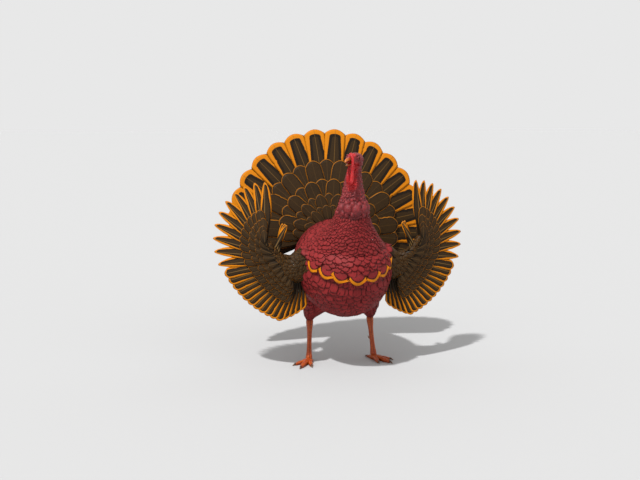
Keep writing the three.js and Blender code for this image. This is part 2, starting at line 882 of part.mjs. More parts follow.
// One toe, from the middle of the foot to the root of its claw.
function toeLimb(side, toe) {
  const along = toeDirection(side, toe);
  const root = footCentre(side);
  const at = (share, height) =>
    root.clone().addScaledVector(along, toe.length * share).setZ(height);
  return limb({
    spine: [
      at(0, toe.rise),
      at(0.35, toe.half + 1.4),
      at(0.7, 0.9 * toe.half - 0.9),
      at(1, 0.6 * toe.half - 0.4),
    ],
    rows: [
      [0, toe.half * 1.25, toe.half * 1.2],
      [0.5, toe.half, toe.half],
      [0.85, toe.half * 0.84, toe.half * 0.86],
      [1, toe.half * 0.6, toe.half * 0.6],
    ],
    sides: 7,
    steps: Math.round(toe.length / TOE_STEP),
    across: vec(-along.y, along.x, 0),
    dome: [0.1, 0.08],
    relief: (share) => 0.7 * Math.cos(share * KNUCKLES * 2 * Math.PI),
  }).intersect(behindPlane(clawRoot(side, toe), along));
}

// Where a toe ends and its claw begins.
function clawRoot(side, toe) {
  return footCentre(side).addScaledVector(toeDirection(side, toe), toe.length - 5);
}

// One curved claw, square where it meets its toe.
function clawLimb(side, toe) {
  const along = toeDirection(side, toe);
  const root = footCentre(side);
  const reach = toe.length - 9;
  const at = (step, height) => root.clone().addScaledVector(along, reach + step).setZ(height);
  return limb({
    spine: [
      at(0, 0.7 * toe.half),
      at(CLAW_LENGTH * 0.5, 0.75 * toe.half + 1),
      at(CLAW_LENGTH, 0.5 * toe.half),
      at(CLAW_LENGTH + 6, 1.2),
    ],
    rows: [[0, 4.6, 4.8], [0.5, 3.6, 3.8], [0.85, 1.8, 2], [1, 0.7, 0.8]],
    sides: 6,
    steps: 5,
    across: vec(-along.y, along.x, 0),
  }).subtract(behindPlane(clawRoot(side, toe).addScaledVector(along, GAP), along));
}

// The toes and the pad under them, flat where they rest on the floor.
function makeFoot(side, shank) {
  const pad = ball(footCentre(side).setZ(9), [17, 17, 12], { around: 10, along: 6 });
  const toes = TOES.map((toe) => toeLimb(side, toe));
  return largest(join([pad, ...toes]).subtract(floorBlock).subtract(shank));
}

// The spur on the inner back of a shank.
function makeSpur(side, shank) {
  const root = ankle(side).lerp(footCentre(side), 0.55);
  const spur = limb({
    spine: [
      root.clone().add(vec(-side * 2, 2, 0)),
      root.clone().add(vec(-side * 7, 15, 1)),
      root.clone().add(vec(-side * 10, 27, 7)),
    ],
    rows: [[0, 6, 6], [0.5, 4.4, 4.4], [1, 1, 1]],
    sides: 8,
    steps: 6,
  });
  return largest(spur.subtract(shank));
}

// --- Materials and assembly ----------------------------------------------------------------------

const finish = (color, roughness) =>
  new THREE.MeshStandardMaterial({ color, roughness, metalness: 0 });
const MATERIALS = {
  breastFeather: finish(0x742a2c, 0.7),
  flightFeather: finish(0x3b2a12, 0.7),
  skin: finish(0x8a2b30, 0.55),
  wattle: finish(0xc5161c, 0.5),
  horn: finish(0xb84a06, 0.45),
  scale: finish(0xc06a10, 0.55),
  claw: finish(0x4a3018, 0.4),
  tongue: finish(0xc4404a, 0.5),
  eye: finish(0x1a0f08, 0.1),
};

const bird = new THREE.Group();

// Adds a solid to the bird as a named mesh.
function add(name, body, material) {
  const { vertProperties, numProp, triVerts, numVert } = body.getMesh();
  const positions = new Float32Array(numVert * 3);
  for (let k = 0; k < numVert; k += 1) {
    positions.set(vertProperties.subarray(k * numProp, k * numProp + 3), k * 3);
  }
  const geometry = new THREE.BufferGeometry();
  geometry.setAttribute("position", new THREE.BufferAttribute(positions, 3));
  geometry.setIndex(new THREE.BufferAttribute(triVerts, 1));
  geometry.computeVertexNormals();
  const mesh = new THREE.Mesh(geometry, MATERIALS[material]);
  mesh.name = name;
  bird.add(mesh);
}

const SIDE_NAMES = new Map([[-1, "right"], [1, "left"]]);

// Makes every part, each cut clear of those that it touches.
function assemble() {
  const neckPieces = join([neckCore(), ...caruncles()]);
  const bareStart = neckCutPoint.clone().addScaledVector(neckCutAxis, GAP);
  const belowCut = behindPlane(bareStart, neckCutAxis);
  const neck = largest(neckPieces.subtract(belowCut).subtract(skull(GAP)));
  const head = makeHead(neckCore(GAP).subtract(skull()));
  const upperBill = makeUpperBill();
  const lowerBill = makeLowerBill();
  add("torso", torso, "breastFeather");
  add("tail", makeTail(), "flightFeather");
  add("neck", neck, "skin");
  add("head", head, "skin");
  add("bill_upper", upperBill, "horn");
  add("bill_lower", lowerBill, "horn");
  add("tongue", makeTongue([upperBill, lowerBill]), "tongue");
  add("snood", makeSnood([skull(GAP), upperBill, lowerBill]), "wattle");
  add("wattle", makeWattle([head, billHalf({ ...LOWER_BILL, grow: GAP }), neck]), "wattle");
  for (const [side, word] of SIDE_NAMES) {
    add(`eye_${word}`, eyeAt(side, EYE_RADIUS), "eye");
    add(`wing_${word}_hand`, makeHand(side), "flightFeather");
    add(`wing_${word}_arm`, makeArm(side), "flightFeather");
    const thigh = makeThigh(side);
    const shank = makeShank(side, thigh);
    add(`thigh_${word}`, thigh, "breastFeather");
    add(`shank_${word}`, shank, "scale");
    const foot = makeFoot(side, shank);
    add(`foot_${word}`, foot, "scale");
    add(`spur_${word}`, makeSpur(side, shank), "claw");
    for (const toe of TOES) {
      const claw = largest(clawLimb(side, toe).subtract(floorBlock));
      add(`claw_${word}_${toe.name}`, claw, "claw");
    }
  }
}

assemble();

// The origin is moved to the floor under the middle of the bounding box.
const box = new THREE.Box3().setFromObject(bird);
const middle = box.getCenter(vec(0, 0, 0));
bird.position.set(-middle.x, -middle.y, 0);

export default bird;
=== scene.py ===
"""A life-size domestic tom turkey, his tail fanned and his wings raised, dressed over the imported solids.

Named sizes and places are in millimetres and arrays of points in metres, unless a line says otherwise.
"""
import logging
import math
from dataclasses import dataclass, field, replace
from enum import Enum
from typing import Callable

import bpy
import numpy as np
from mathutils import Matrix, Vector, kdtree
from mathutils import noise as solid_noise
from mathutils.bvhtree import BVHTree


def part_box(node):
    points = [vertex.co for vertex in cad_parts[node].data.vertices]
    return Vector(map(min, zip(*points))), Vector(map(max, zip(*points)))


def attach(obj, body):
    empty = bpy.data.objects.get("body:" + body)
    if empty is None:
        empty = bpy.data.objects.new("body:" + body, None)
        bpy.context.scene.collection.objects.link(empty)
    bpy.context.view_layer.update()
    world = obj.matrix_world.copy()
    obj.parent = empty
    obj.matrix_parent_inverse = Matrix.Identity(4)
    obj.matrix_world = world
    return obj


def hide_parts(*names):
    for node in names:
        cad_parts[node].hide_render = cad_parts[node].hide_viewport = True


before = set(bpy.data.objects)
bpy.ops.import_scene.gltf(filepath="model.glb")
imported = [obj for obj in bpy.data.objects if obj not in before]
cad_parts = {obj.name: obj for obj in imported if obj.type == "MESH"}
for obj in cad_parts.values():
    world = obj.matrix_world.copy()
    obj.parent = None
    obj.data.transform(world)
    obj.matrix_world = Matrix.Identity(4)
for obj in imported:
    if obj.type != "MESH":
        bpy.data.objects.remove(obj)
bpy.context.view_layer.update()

log = logging.getLogger("turkey")
Array = np.ndarray
MM = 0.001
BAKE_MAP = "OFBake"
SIDES = {"right": -1, "left": 1}


# --- Small geometry ---

def unit(vectors: Array) -> Array:
    """Returns vectors scaled to a length of one."""
    return vectors / np.maximum(np.linalg.norm(vectors, axis=-1, keepdims=True), 1e-12)


def dot(a: Array, b: Array) -> Array:
    """Returns the dot product along the last axis, kept as an axis of one."""
    return np.sum(a * b, axis=-1, keepdims=True)


def lerp(a: float, b: float, t: float | Array) -> float | Array:
    """Returns the value between a and b at share t."""
    return a + (b - a) * t


def smoothstep(low: float, high: float, value: float | Array) -> float | Array:
    """Returns 0 below low, 1 above high and a smooth step between."""
    t = np.clip((value - low) / (high - low), 0, 1)
    return t * t * (3 - 2 * t)


def vec(x: float, y: float, z: float) -> Array:
    """Returns a point or a direction."""
    return np.array([x, y, z], dtype=float)


def profile(rows: list[list[float]], shares: Array) -> Array:
    """Reads rows of [share, value, ...] at any shares, with smooth steps between rows.

    Args:
        rows: At least two rows, in order of share.
        shares: The places to read.

    Returns:
        One row of values for each share.
    """
    table = np.array(rows, dtype=float)
    at, values = table[:, 0], table[:, 1:]
    slopes = np.zeros_like(values)
    slopes[1:-1] = (values[2:] - values[:-2]) / (at[2:] - at[:-2])[:, None]
    slopes[0] = (values[1] - values[0]) / (at[1] - at[0])
    slopes[-1] = (values[-1] - values[-2]) / (at[-1] - at[-2])
    k = np.clip(np.searchsorted(at, shares, side="right") - 1, 0, len(at) - 2)
    step = (at[k + 1] - at[k])[:, None]
    t = np.clip((shares - at[k])[:, None] / step, 0, 1)
    here = values[k] * (2 * t**3 - 3 * t**2 + 1) + slopes[k] * step * (t**3 - 2 * t**2 + t)
    there = values[k + 1] * (3 * t**2 - 2 * t**3) + slopes[k + 1] * step * (t**3 - t**2)
    return np.maximum(here + there, 0)


@dataclass
class Spine:
    """A smooth centripetal curve through a few points."""

    points: list[Array]
    fineness: int = 60

    def __post_init__(self) -> None:
        """Draws the curve as a fine line and measures it."""
        points = [np.asarray(p, dtype=float) for p in self.points]
        ends = [2 * points[0] - points[1], *points, 2 * points[-1] - points[-2]]
        line = []
        for a, b, c, d in zip(ends, ends[1:], ends[2:], ends[3:]):
            k0, k1, k2 = (math.sqrt(np.linalg.norm(q - p)) for p, q in ((a, b), (b, c), (c, d)))
            into = ((b - a) / k0 - (c - a) / (k0 + k1) + (c - b) / k1) * k1
            out = ((c - b) / k1 - (d - b) / (k1 + k2) + (d - c) / k2) * k1
            t = np.linspace(0, 1, self.fineness, endpoint=False)[:, None]
            bend, twist = 3 * (c - b) - 2 * into - out, 2 * (b - c) + into + out
            line.append(b + into * t + bend * t**2 + twist * t**3)
        self.line = np.vstack([*line, points[-1][None]])
        steps = np.linalg.norm(np.diff(self.line, axis=0), axis=1)
        self.along = np.concatenate([[0], np.cumsum(steps)])
        self.length = self.along[-1]

    def at(self, shares: Array) -> Array:
        """Returns the points at these shares of the length."""
        want = np.atleast_1d(shares) * self.length
        return np.stack([np.interp(want, self.along, self.line[:, k]) for k in range(3)], axis=-1)

    def heading(self, shares: Array) -> Array:
        """Returns the directions at these shares of the length."""
        step = 0.004
        return unit(self.at(np.minimum(shares + step, 1)) - self.at(np.maximum(shares - step, 0)))


@dataclass
class Form:
    """A mesh in the making: its points, its faces and the maps that carry two values at each point."""

    points: Array
    faces: list[Array]
    maps: dict[str, Array] = field(default_factory=dict)


def joined(forms: list[Form]) -> Form:
    """Returns several forms as one, with the maps that they share.

    Args:
        forms: The forms.

    Returns:
        One form, with its faces renumbered.
    """
    starts = np.cumsum([0, *(len(form.points) for form in forms)])
    faces = [face + start for form, start in zip(forms, starts) for face in form.faces]
    names = set.intersection(*(set(form.maps) for form in forms))
    maps = {name: np.vstack([form.maps[name] for form in forms]) for name in sorted(names)}
    return Form(np.vstack([form.points for form in forms]), faces, maps)


def make_mesh(name: str, form: Form) -> bpy.types.Mesh:
    """Turns a form into a Blender mesh.

    Args:
        name: The mesh's name.
        form: The form.

    Returns:
        The mesh, shaded smooth, with a UV map for each map of the form.
    """
    mesh = bpy.data.meshes.new(name)
    corners = np.concatenate([face.ravel() for face in form.faces]).astype(np.int32)
    sizes = np.concatenate([np.full(len(face), face.shape[1]) for face in form.faces])
    starts = np.concatenate([[0], np.cumsum(sizes)[:-1]]).astype(np.int32)
    mesh.vertices.add(len(form.points))
    mesh.vertices.foreach_set("co", form.points.astype(np.float32).ravel())
    mesh.loops.add(len(corners))
    mesh.loops.foreach_set("vertex_index", corners)
    mesh.polygons.add(len(starts))
    mesh.polygons.foreach_set("loop_start", starts)
    mesh.update(calc_edges=True)
    mesh.polygons.foreach_set("use_smooth", np.ones(len(starts), dtype=bool))
    for key, values in form.maps.items():
        layer = mesh.uv_layers.new(name=key, do_init=False)
        layer.uv.foreach_set("vector", values[corners].astype(np.float32).ravel())
    mesh.validate()
    return mesh


@dataclass
class Piece:
    """One object of the bird: its mesh, its finish, and the solids that it stands for."""

    name: str
    form: Form
    finish: "Finish"
    slot: str
    stands_for: tuple[str, ...] = ()

    def show(self) -> bpy.types.Object:
        """Adds the object to the scene, rides it on the bird and reports it."""
        made = bpy.data.objects.new(self.name, make_mesh(self.name, self.form))
        bpy.context.scene.collection.objects.link(made)
        made.data.materials.append(self.finish.material())
        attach(made, "root")
        if self.stands_for:
            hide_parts(*self.stands_for)
        triangles = sum(face.shape[0] * (face.shape[1] - 2) for face in self.form.faces)
        log.info("%s: %d triangles", self.name, triangles)
        return made


def grid_faces(rows: int, columns: int, closed: bool = False) -> Array:
    """Returns the quads of a grid of points, row by row.

    Args:
        rows: How many rows of points.
        columns: How many points in a row.
        closed: Whether each row runs back to its start.

    Returns:
        Four corner numbers for each quad.
    """
    j, k = np.meshgrid(np.arange(rows - 1), np.arange(columns if closed else columns - 1), indexing="ij")
    a = (j * columns + k).ravel()
    b = (j * columns + (k + 1) % columns).ravel()
    return np.stack([a, b, b + columns, a + columns], axis=1)


def closed_faces(rings: int, around: int) -> list[Array]:
    """Returns the faces of a closed body, whose rings of points lie between a first and a last point.

    Args:
        rings: How many rings.
        around: How many points in each.

    Returns:
        The quads between the rings, then the fans of triangles at the two ends.
    """
    first = 1 + np.arange(around)
    last = first + (rings - 1) * around
    return [
        grid_faces(rings, around, closed=True)[:, ::-1] + 1,
        np.stack([np.zeros(around, int), first, np.roll(first, -1)], axis=1),
        np.stack([np.full(around, rings * around + 1), np.roll(last, -1), last], axis=1),
    ]


@dataclass
class Limb:
    """A closed body round a spine, with half sizes in millimetres read from rows along it."""

    spine: list[Array]
    rows: list[list[float]]
    sides: int = 32
    steps: int = 32
    across: Array = field(default_factory=lambda: vec(1, 0, 0))
    dome: tuple[float, float] = (0.06, 0.06)
    grow: float = 0
    relief: Callable[[Array, Array], Array] | None = None

    def grown(self, grow: float) -> "Limb":
        """Returns the limb swollen by so many millimetres, or shrunk by a number below zero."""
        return replace(self, grow=grow)

    def form(self) -> Form:
        """Returns the closed body, with its shares and angles in the map "place"."""
        curve = Spine(self.spine)
        j = np.arange(self.steps + 1) / self.steps
        shares = lerp(j, (1 - np.cos(math.pi * j)) / 2, 0.6)
        inner = shares[1:-1]
        centre, tangent = curve.at(inner), curve.heading(inner)
        side = unit(self.across - dot(self.across[None], tangent) * tangent)
        over = unit(np.cross(side, tangent))
        start = np.minimum(inner / self.dome[0], 1)
        stop = np.minimum((1 - inner) / self.dome[1], 1)
        cap = np.sqrt(1 - (1 - start) ** 2) * np.sqrt(1 - (1 - stop) ** 2)
        sizes = profile(self.rows, inner)
        width, above, below = sizes[:, 0], sizes[:, 1], sizes[:, -1]
        angle = 2 * math.pi * np.arange(self.sides) / self.sides
        place = np.stack(np.meshgrid(inner, angle, indexing="ij"), axis=-1)
        lift = self.relief(place[..., 0], place[..., 1]) if self.relief else np.zeros(place.shape[:2])
        c, s = np.cos(angle)[None], np.sin(angle)[None]
        tall = np.where(s > 0, above[:, None], below[:, None])
        out = c * ((width * cap)[:, None] + self.grow + lift)
        up = s * (tall * cap[:, None] + self.grow + lift)
        ring = centre[:, None] + (side[:, None] * out[..., None] + over[:, None] * up[..., None]) * MM
        ends = np.array([0, 1])
        tips = curve.at(ends) + curve.heading(ends) * np.array([[-1], [1]]) * self.grow * MM
        points = np.vstack([tips[:1], ring.reshape(-1, 3), tips[1:]])
        places = np.vstack([[[0, 0]], place.reshape(-1, 2), [[1, 0]]])
        return outward(Form(points, closed_faces(self.steps - 1, self.sides), {"place": places}))


def outward(form: Form) -> Form:
    """Returns a closed form with its faces looking out.

    Args:
        form: A closed form.

    Returns:
        The same form, or one with its faces turned over.
    """
    volume = 0.0
    for face in form.faces:
        for k in range(1, face.shape[1] - 1):
            a, b, c = (form.points[face[:, n]] for n in (0, k, k + 1))
            volume += float(np.sum(a * np.cross(b, c)))
    return form if volume > 0 else Form(form.points, [face[:, ::-1] for face in form.faces], form.maps)


def ball(centre: Array, halves: tuple[float, float, float], axes: Array | None = None,
         around: int = 16) -> Form:
    """Returns a ball squashed to three half sizes in millimetres.

    Args:
        centre: Its middle.
        halves: Its half sizes along its three axes.
        axes: Its three axes as rows, or None for X, Y and Z.
        around: How many points round it.

    Returns:
        The closed form.
    """
    along = around // 2 + 1
    polar = math.pi * np.arange(1, along) / along
    turn = 2 * math.pi * np.arange(around) / around
    p, t = np.meshgrid(polar, turn, indexing="ij")
    rings = np.stack([np.sin(p) * np.cos(t), np.sin(p) * np.sin(t), np.cos(p)], axis=-1).reshape(-1, 3)
    points = np.vstack([[[0, 0, 1]], rings, [[0, 0, -1]]]) * np.array(halves) * MM
    turned = points @ (np.eye(3) if axes is None else axes)
    return outward(Form(centre + turned, closed_faces(along - 1, around)))


def remeshed(forms: list[Form], voxel: float) -> Form:
    """Returns closed forms melted into one even surface.

    Args:
        forms: The forms, which overlap.
        voxel: The grain of the new surface in millimetres.

    Returns:
        The new form, with quads and triangles.
    """
    bare = joined([Form(form.points, form.faces) for form in forms])
    scratch = bpy.data.objects.new("scratch", make_mesh("scratch", bare))
    bpy.context.scene.collection.objects.link(scratch)
    change = scratch.modifiers.new("melt", "REMESH")
    change.mode = "VOXEL"
    change.voxel_size = voxel * MM
    graph = bpy.context.evaluated_depsgraph_get()
    mesh = bpy.data.meshes.new_from_object(scratch.evaluated_get(graph))
    form = read_mesh(mesh)
    bpy.data.objects.remove(scratch)
    bpy.data.meshes.remove(mesh)
    return form


def read_mesh(mesh: bpy.types.Mesh) -> Form:
    """Turns a Blender mesh of quads and triangles into a form.

    Args:
        mesh: The mesh.

    Returns:
        Its points, triangles and quads.
    """
    points = np.empty(len(mesh.vertices) * 3)
    corners = np.empty(len(mesh.loops), dtype=np.int32)
    starts, sizes = np.empty((2, len(mesh.polygons)), dtype=np.int32)
    mesh.vertices.foreach_get("co", points)
    mesh.loops.foreach_get("vertex_index", corners)
    mesh.polygons.foreach_get("loop_start", starts)
    mesh.polygons.foreach_get("loop_total", sizes)
    faces = []
    for count in (3, 4):
        some = starts[sizes == count]
        if len(some):
            faces.append(corners[some[:, None] + np.arange(count)])
    return Form(points.reshape(-1, 3), faces)


def edges_of(form: Form) -> Array:
    """Returns each edge of a form once, as two point numbers."""
    ends = [np.stack([face.ravel(), np.roll(face, -1, axis=1).ravel()], axis=1) for face in form.faces]
    return np.unique(np.sort(np.vstack(ends), axis=1), axis=0)


def smoothed(form: Form, rounds: int, weight: float = 0.5) -> Form:
    """Returns a form with its points drawn towards their neighbours a few times.

    Args:
        form: The form.
        rounds: How many times.
        weight: The share of the way that each point goes.

    Returns:
        The form with its new points.
    """
    edges = edges_of(form)
    count = np.bincount(edges.ravel(), minlength=len(form.points))[:, None]
    points = form.points.copy()
    for _ in range(rounds):
        total = np.zeros_like(points)
        np.add.at(total, edges[:, 0], points[edges[:, 1]])
        np.add.at(total, edges[:, 1], points[edges[:, 0]])
        points += weight * (total / np.maximum(count, 1) - points)
    return Form(points, form.faces, form.maps)


def point_normals(form: Form) -> Array:
    """Returns the outward direction at each point of a form.

    Args:
        form: The form.

    Returns:
        One direction for each point.
    """
    normals = np.zeros_like(form.points)
    for face in form.faces:
        a, b, c = (form.points[face[:, n]] for n in (0, 1, 2))
        across = np.cross(b - a, c - a)
        for k in range(face.shape[1]):
            np.add.at(normals, face[:, k], across)
    return unit(normals)


def grain(points: Array, size: float, seed: float = 0) -> Array:
    """Returns smooth noise from -1 to 1 at each point, with lumps of a size in millimetres.

    Args:
        points: Where to read it.
        size: The size of its lumps.
        seed: What sets one noise apart from another.

    Returns:
        One value for each point.
    """
    scale = 1 / (size * MM)
    shift = Vector((seed, 2 * seed, 3 * seed))
    return np.array([solid_noise.noise(Vector(p) * scale + shift) for p in points])


# --- The bird's own frame ---

HEAD_TURN = math.radians(40)  # to his right
HEAD_LIFT = math.radians(6)
HEAD_HEIGHT = 842
EYE_PLACE = (15, 21.5, 6)  # forward, left and up of the middle of the skull, in millimetres
EYE_RADIUS = 7.5


def head_axes() -> Array:
    """Returns the head's left, back and up directions as rows."""
    c, s = math.cos(HEAD_LIFT), math.sin(HEAD_LIFT)
    lifted = np.array([[1, 0, 0], [0, c, -s], [0, s, c]])
    c, s = math.cos(HEAD_TURN), math.sin(HEAD_TURN)
    return lifted @ np.array([[c, -s, 0], [s, c, 0], [0, 0, 1]])


HEAD_AXES = head_axes()
HEAD_LEFT, HEAD_BACK, HEAD_UP = HEAD_AXES


def solid_middle(name: str) -> Array:
    """Returns the middle of a solid's box."""
    low, high = (np.array(corner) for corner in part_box(name))
    return (low + high) / 2


def drawn_head_point(forward: float, left: float, up: float) -> Array:
    """Returns a point of the head, in metres, before the bird is centred on his origin."""
    offset = left * HEAD_LEFT - forward * HEAD_BACK + up * HEAD_UP
    return (vec(0, -206, HEAD_HEIGHT) + offset) * MM


BETWEEN_EYES = (solid_middle("eye_left") + solid_middle("eye_right")) / 2
ORIGIN = BETWEEN_EYES - drawn_head_point(EYE_PLACE[0], 0, EYE_PLACE[2])


def place(x: float, y: float, z: float) -> Array:
    """Returns a point of the bird from millimetres: his left, back and up."""
    return vec(x, y, z) * MM + ORIGIN


def head_point(forward: float, left: float, up: float) -> Array:
    """Returns a point of the head from millimetres forward, left and up of the middle of the skull."""
    return drawn_head_point(forward, left, up) + ORIGIN


def head_line(*stops: tuple[float, float, float]) -> list[Array]:
    """Returns several points of the head."""
    return [head_point(*stop) for stop in stops]


def eye_middle(side: int) -> Array:
    """Returns the middle of the globe of one eye."""
    return head_point(EYE_PLACE[0], side * EYE_PLACE[1], EYE_PLACE[2])


def measured(points: Array) -> Array:
    """Returns how many millimetres points lie to the bird's left, back and up, as three rows."""
    return ((points - ORIGIN) / MM).T


# --- Finishes ---

def linear(code: str) -> tuple[float, float, float, float]:
    """Returns an sRGB hex colour as a linear colour."""
    parts = [int(code[k:k + 2], 16) / 255 for k in (1, 3, 5)]
    return (*(p / 12.92 if p <= 0.04045 else ((p + 0.055) / 1.055) ** 2.4 for p in parts), 1)


EASED = {"interpolation_type": "SMOOTHSTEP"}
COLOURS = {"data_type": "RGBA", "output": 2}  # a mix of colours gives its result at its third output
FROM, TO = 6, 7  # the numbers of its two colours


class Nodes:
    """The node tree of one material.

    Inputs that go by number: Math takes its values as 0, 1 and 2, MapRange takes a value as 0, the range that
    it reads as 1 to 2 and the range that it gives as 3 to 4, and Mix takes the share of its second colour
    as 0.
    """

    def __init__(self, name: str) -> None:
        """Starts an empty tree in a new material.

        Args:
            name: The material's name.
        """
        self.material = bpy.data.materials.new(name)
        self.material.use_nodes = True
        self.tree = self.material.node_tree
        self.tree.nodes.clear()

    def add(self, kind: str, inputs: dict, output: int = 0, **settings: object) -> bpy.types.NodeSocket:
        """Adds a node with its settings and links.

        Args:
            kind: The node's type, without its common prefix.
            inputs: A value, a hex colour or another node's output for each input, by name or number.
            output: The number of the output to return.
            **settings: The node's own settings.

        Returns:
            One output of the node.
        """
        made = self.tree.nodes.new("ShaderNode" + kind)
        for key, value in settings.items():
            setattr(made, key, value)
        for key, value in inputs.items():
            if isinstance(value, bpy.types.NodeSocket):
                self.tree.links.new(value, made.inputs[key])
            else:
                made.inputs[key].default_value = linear(value) if isinstance(value, str) else value
        return made.outputs[output] if len(made.outputs) else None


class Finish:
    """A material that is made once and shared by the pieces that wear it."""

    name: str

    def material(self) -> bpy.types.Material:
        """Returns the material, making it the first time."""
        return bpy.data.materials.get(self.name) or self.build()

    def build(self) -> bpy.types.Material:
        """Makes the material."""
        raise NotImplementedError


@dataclass(frozen=True)
class FeatherFinish(Finish):
    """Keratin feather vane, grown in barbs along a shaft: soft sheen, fine slanted lines, darker root."""

    name: str
    vane: str
    root: str
    rim: str
    band: str
    shaft: str
    rim_width: float = 6
    band_width: float = 5
    rim_from: tuple[float, float] = (0.25, 0.8)  # the shares of the length between which the rim grows
    bar_spacing: float = 9
    bar_strength: float = 0.3
    barb_spacing: float = 1.2  # real barbs stand 0.4 mm apart, too fine to show, so they are drawn coarser
    shaft_width: float = 1.4
    roughness: float = 0.55
    sheen: float = 0.08
    sheen_tint: str = "#8A5A34"

    def build(self) -> bpy.types.Material:
        """Makes the material from the maps "vane", "rim" and "tint"."""
        nodes = Nodes(self.name)
        add = nodes.add
        vane = add("SeparateXYZ", {0: add("UVMap", {}, uv_map="vane")}).node.outputs
        rim = add("SeparateXYZ", {0: add("UVMap", {}, uv_map="rim")}).node.outputs
        tint = add("SeparateXYZ", {0: add("UVMap", {}, uv_map="tint")}).node.outputs
        body = add("TexCoord", {}, output=3)
        speck = add("TexNoise", {"Vector": body, "Scale": 1 / (5 * MM), "Detail": 2})
        drift = add("TexNoise", {"Vector": body, "Scale": 1 / (90 * MM), "Detail": 1})
        across = add("Math", {0: vane[0]}, operation="ABSOLUTE")
        slant = add("Math", {0: across, 1: -1.1, 2: vane[1]}, operation="MULTIPLY_ADD")
        threads = add("CombineXYZ", {
            0: add("Math", {0: slant, 1: 1 / (self.barb_spacing * MM)}, operation="MULTIPLY"),
            1: add("Math", {0: vane[0], 1: 1 / (14 * MM)}, operation="MULTIPLY"),
            2: add("Math", {0: tint[0], 1: 90}, operation="MULTIPLY"),
        })
        barb = add("TexNoise", {"Vector": threads, "Scale": 1, "Detail": 2, "Roughness": 0.6})

        wander = add("Math", {0: speck, 1: 6 * MM, 2: slant}, operation="MULTIPLY_ADD")
        ripple = add("Math", {0: wander, 1: 2 * math.pi / (self.bar_spacing * MM)}, operation="MULTIPLY")
        bars = add("Math", {0: ripple}, operation="SINE")
        bar = add("MapRange", {0: bars, 1: -0.2, 2: 0.9, 3: 0, 4: self.bar_strength}, **EASED)

        grown = add("MapRange", {0: rim[1], 1: 0.1, 2: 0.62}, **EASED)
        shade = add("Math", {0: tint[0], 1: 0.35, 2: 0.5}, operation="MULTIPLY_ADD")
        lively = add("Math", {0: drift, 1: 0.7, 2: shade}, operation="MULTIPLY_ADD")
        streak = add("MapRange", {0: barb, 1: 0.32, 2: 0.68, 3: 0.55, 4: 1.15})
        streaked = add("Math", {0: lively, 1: streak}, operation="MULTIPLY")
        light = add("Math", {0: streaked, 1: grown}, operation="MULTIPLY")
        base = add("Mix", {0: light, FROM: self.root, TO: self.vane}, **COLOURS)
        barred = add("Mix", {0: bar, FROM: base, TO: self.root}, **COLOURS)

        frayed = add("Math", {0: barb, 1: 5 * MM, 2: rim[0]}, operation="MULTIPLY_ADD")
        wavy = add("Math", {0: frayed, 1: 1 * MM}, operation="SUBTRACT")
        low, high = self.rim_from
        whole = (self.rim_width + self.band_width) * MM
        young = add("MapRange", {0: rim[1], 1: low, 2: high, 3: whole, 4: 0})
        edge = add("Math", {0: wavy, 1: young}, operation="ADD")
        strength = tint[1]
        gold_from, gold_to = (self.rim_width + 2.5) * MM, (self.rim_width + 0.5) * MM
        gold = add("MapRange", {0: edge, 1: gold_to, 2: gold_from, 3: 1, 4: 0}, **EASED)
        band_to = gold_from + self.band_width * MM
        dark = add("MapRange", {0: edge, 1: band_to, 2: band_to + 3 * MM, 3: 0.85, 4: 0}, **EASED)
        dark_here = add("Math", {0: dark, 1: strength}, operation="MULTIPLY")
        gold_here = add("Math", {0: gold, 1: strength}, operation="MULTIPLY")
        banded = add("Mix", {0: dark_here, FROM: barred, TO: self.band}, **COLOURS)
        gilded = add("Mix", {0: gold_here, FROM: banded, TO: self.rim}, **COLOURS)

        thin = add("Math", {0: rim[1], 1: -0.75 * self.shaft_width * MM, 2: self.shaft_width * MM},
                   operation="MULTIPLY_ADD")
        past = add("Math", {0: across, 1: thin}, operation="SUBTRACT")
        shaft = add("MapRange", {0: past, 1: 0, 2: 0.4 * MM, 3: 0.75, 4: 0}, **EASED)
        final = add("Mix", {0: shaft, FROM: gilded, TO: self.shaft}, **COLOURS)

        rough = add("Math", {0: speck, 1: 0.25, 2: self.roughness - 0.1}, operation="MULTIPLY_ADD")
        bump = add("Bump", {"Strength": 0.7, "Distance": 0.4 * MM, "Height": barb})
        shader = add("BsdfPrincipled", {
            "Base Color": final, "Roughness": rough, "Normal": bump, "IOR": 1.54, "Specular IOR Level": 0.13,
            "Sheen Weight": self.sheen, "Sheen Roughness": 0.4, "Sheen Tint": self.sheen_tint,
        })
        add("OutputMaterial", {0: shader})
        return nodes.material


BODY_FEATHER = FeatherFinish(
    "mahogany_contour_feather", vane="#862425", root="#36100F", rim="#8C3230", band="#3E1213",
    shaft="#7E2C2C", rim_width=1.6, band_width=3, bar_strength=0.06, barb_spacing=1.3, shaft_width=0.5,
    sheen=0.1, sheen_tint="#7A302C",
)
BREAST_BAND_FEATHER = FeatherFinish(
    "gilt_edged_breast_feather", vane="#862425", root="#36100F", rim="#C47400", band="#240A0B",
    shaft="#7E2C2C", rim_width=12, band_width=4, rim_from=(0.42, 0.74), bar_strength=0.06, barb_spacing=1.3,
    shaft_width=0.6,
)
TAIL_FEATHER = FeatherFinish(
    "brown_tail_feather", vane="#33220A", root="#1A1105", rim="#C47400", band="#120A03", shaft="#6E5024",
    rim_width=21, band_width=10, rim_from=(0.3, 0.9), bar_spacing=9, shaft_width=2.2,
)
FLIGHT_FEATHER = FeatherFinish(
    "brown_flight_feather", vane="#33220A", root="#1A1105", rim="#C47400", band="#120A03", shaft="#7A5C30",
    rim_width=10, band_width=4, rim_from=(0.2, 0.75), bar_spacing=13, shaft_width=2,
)
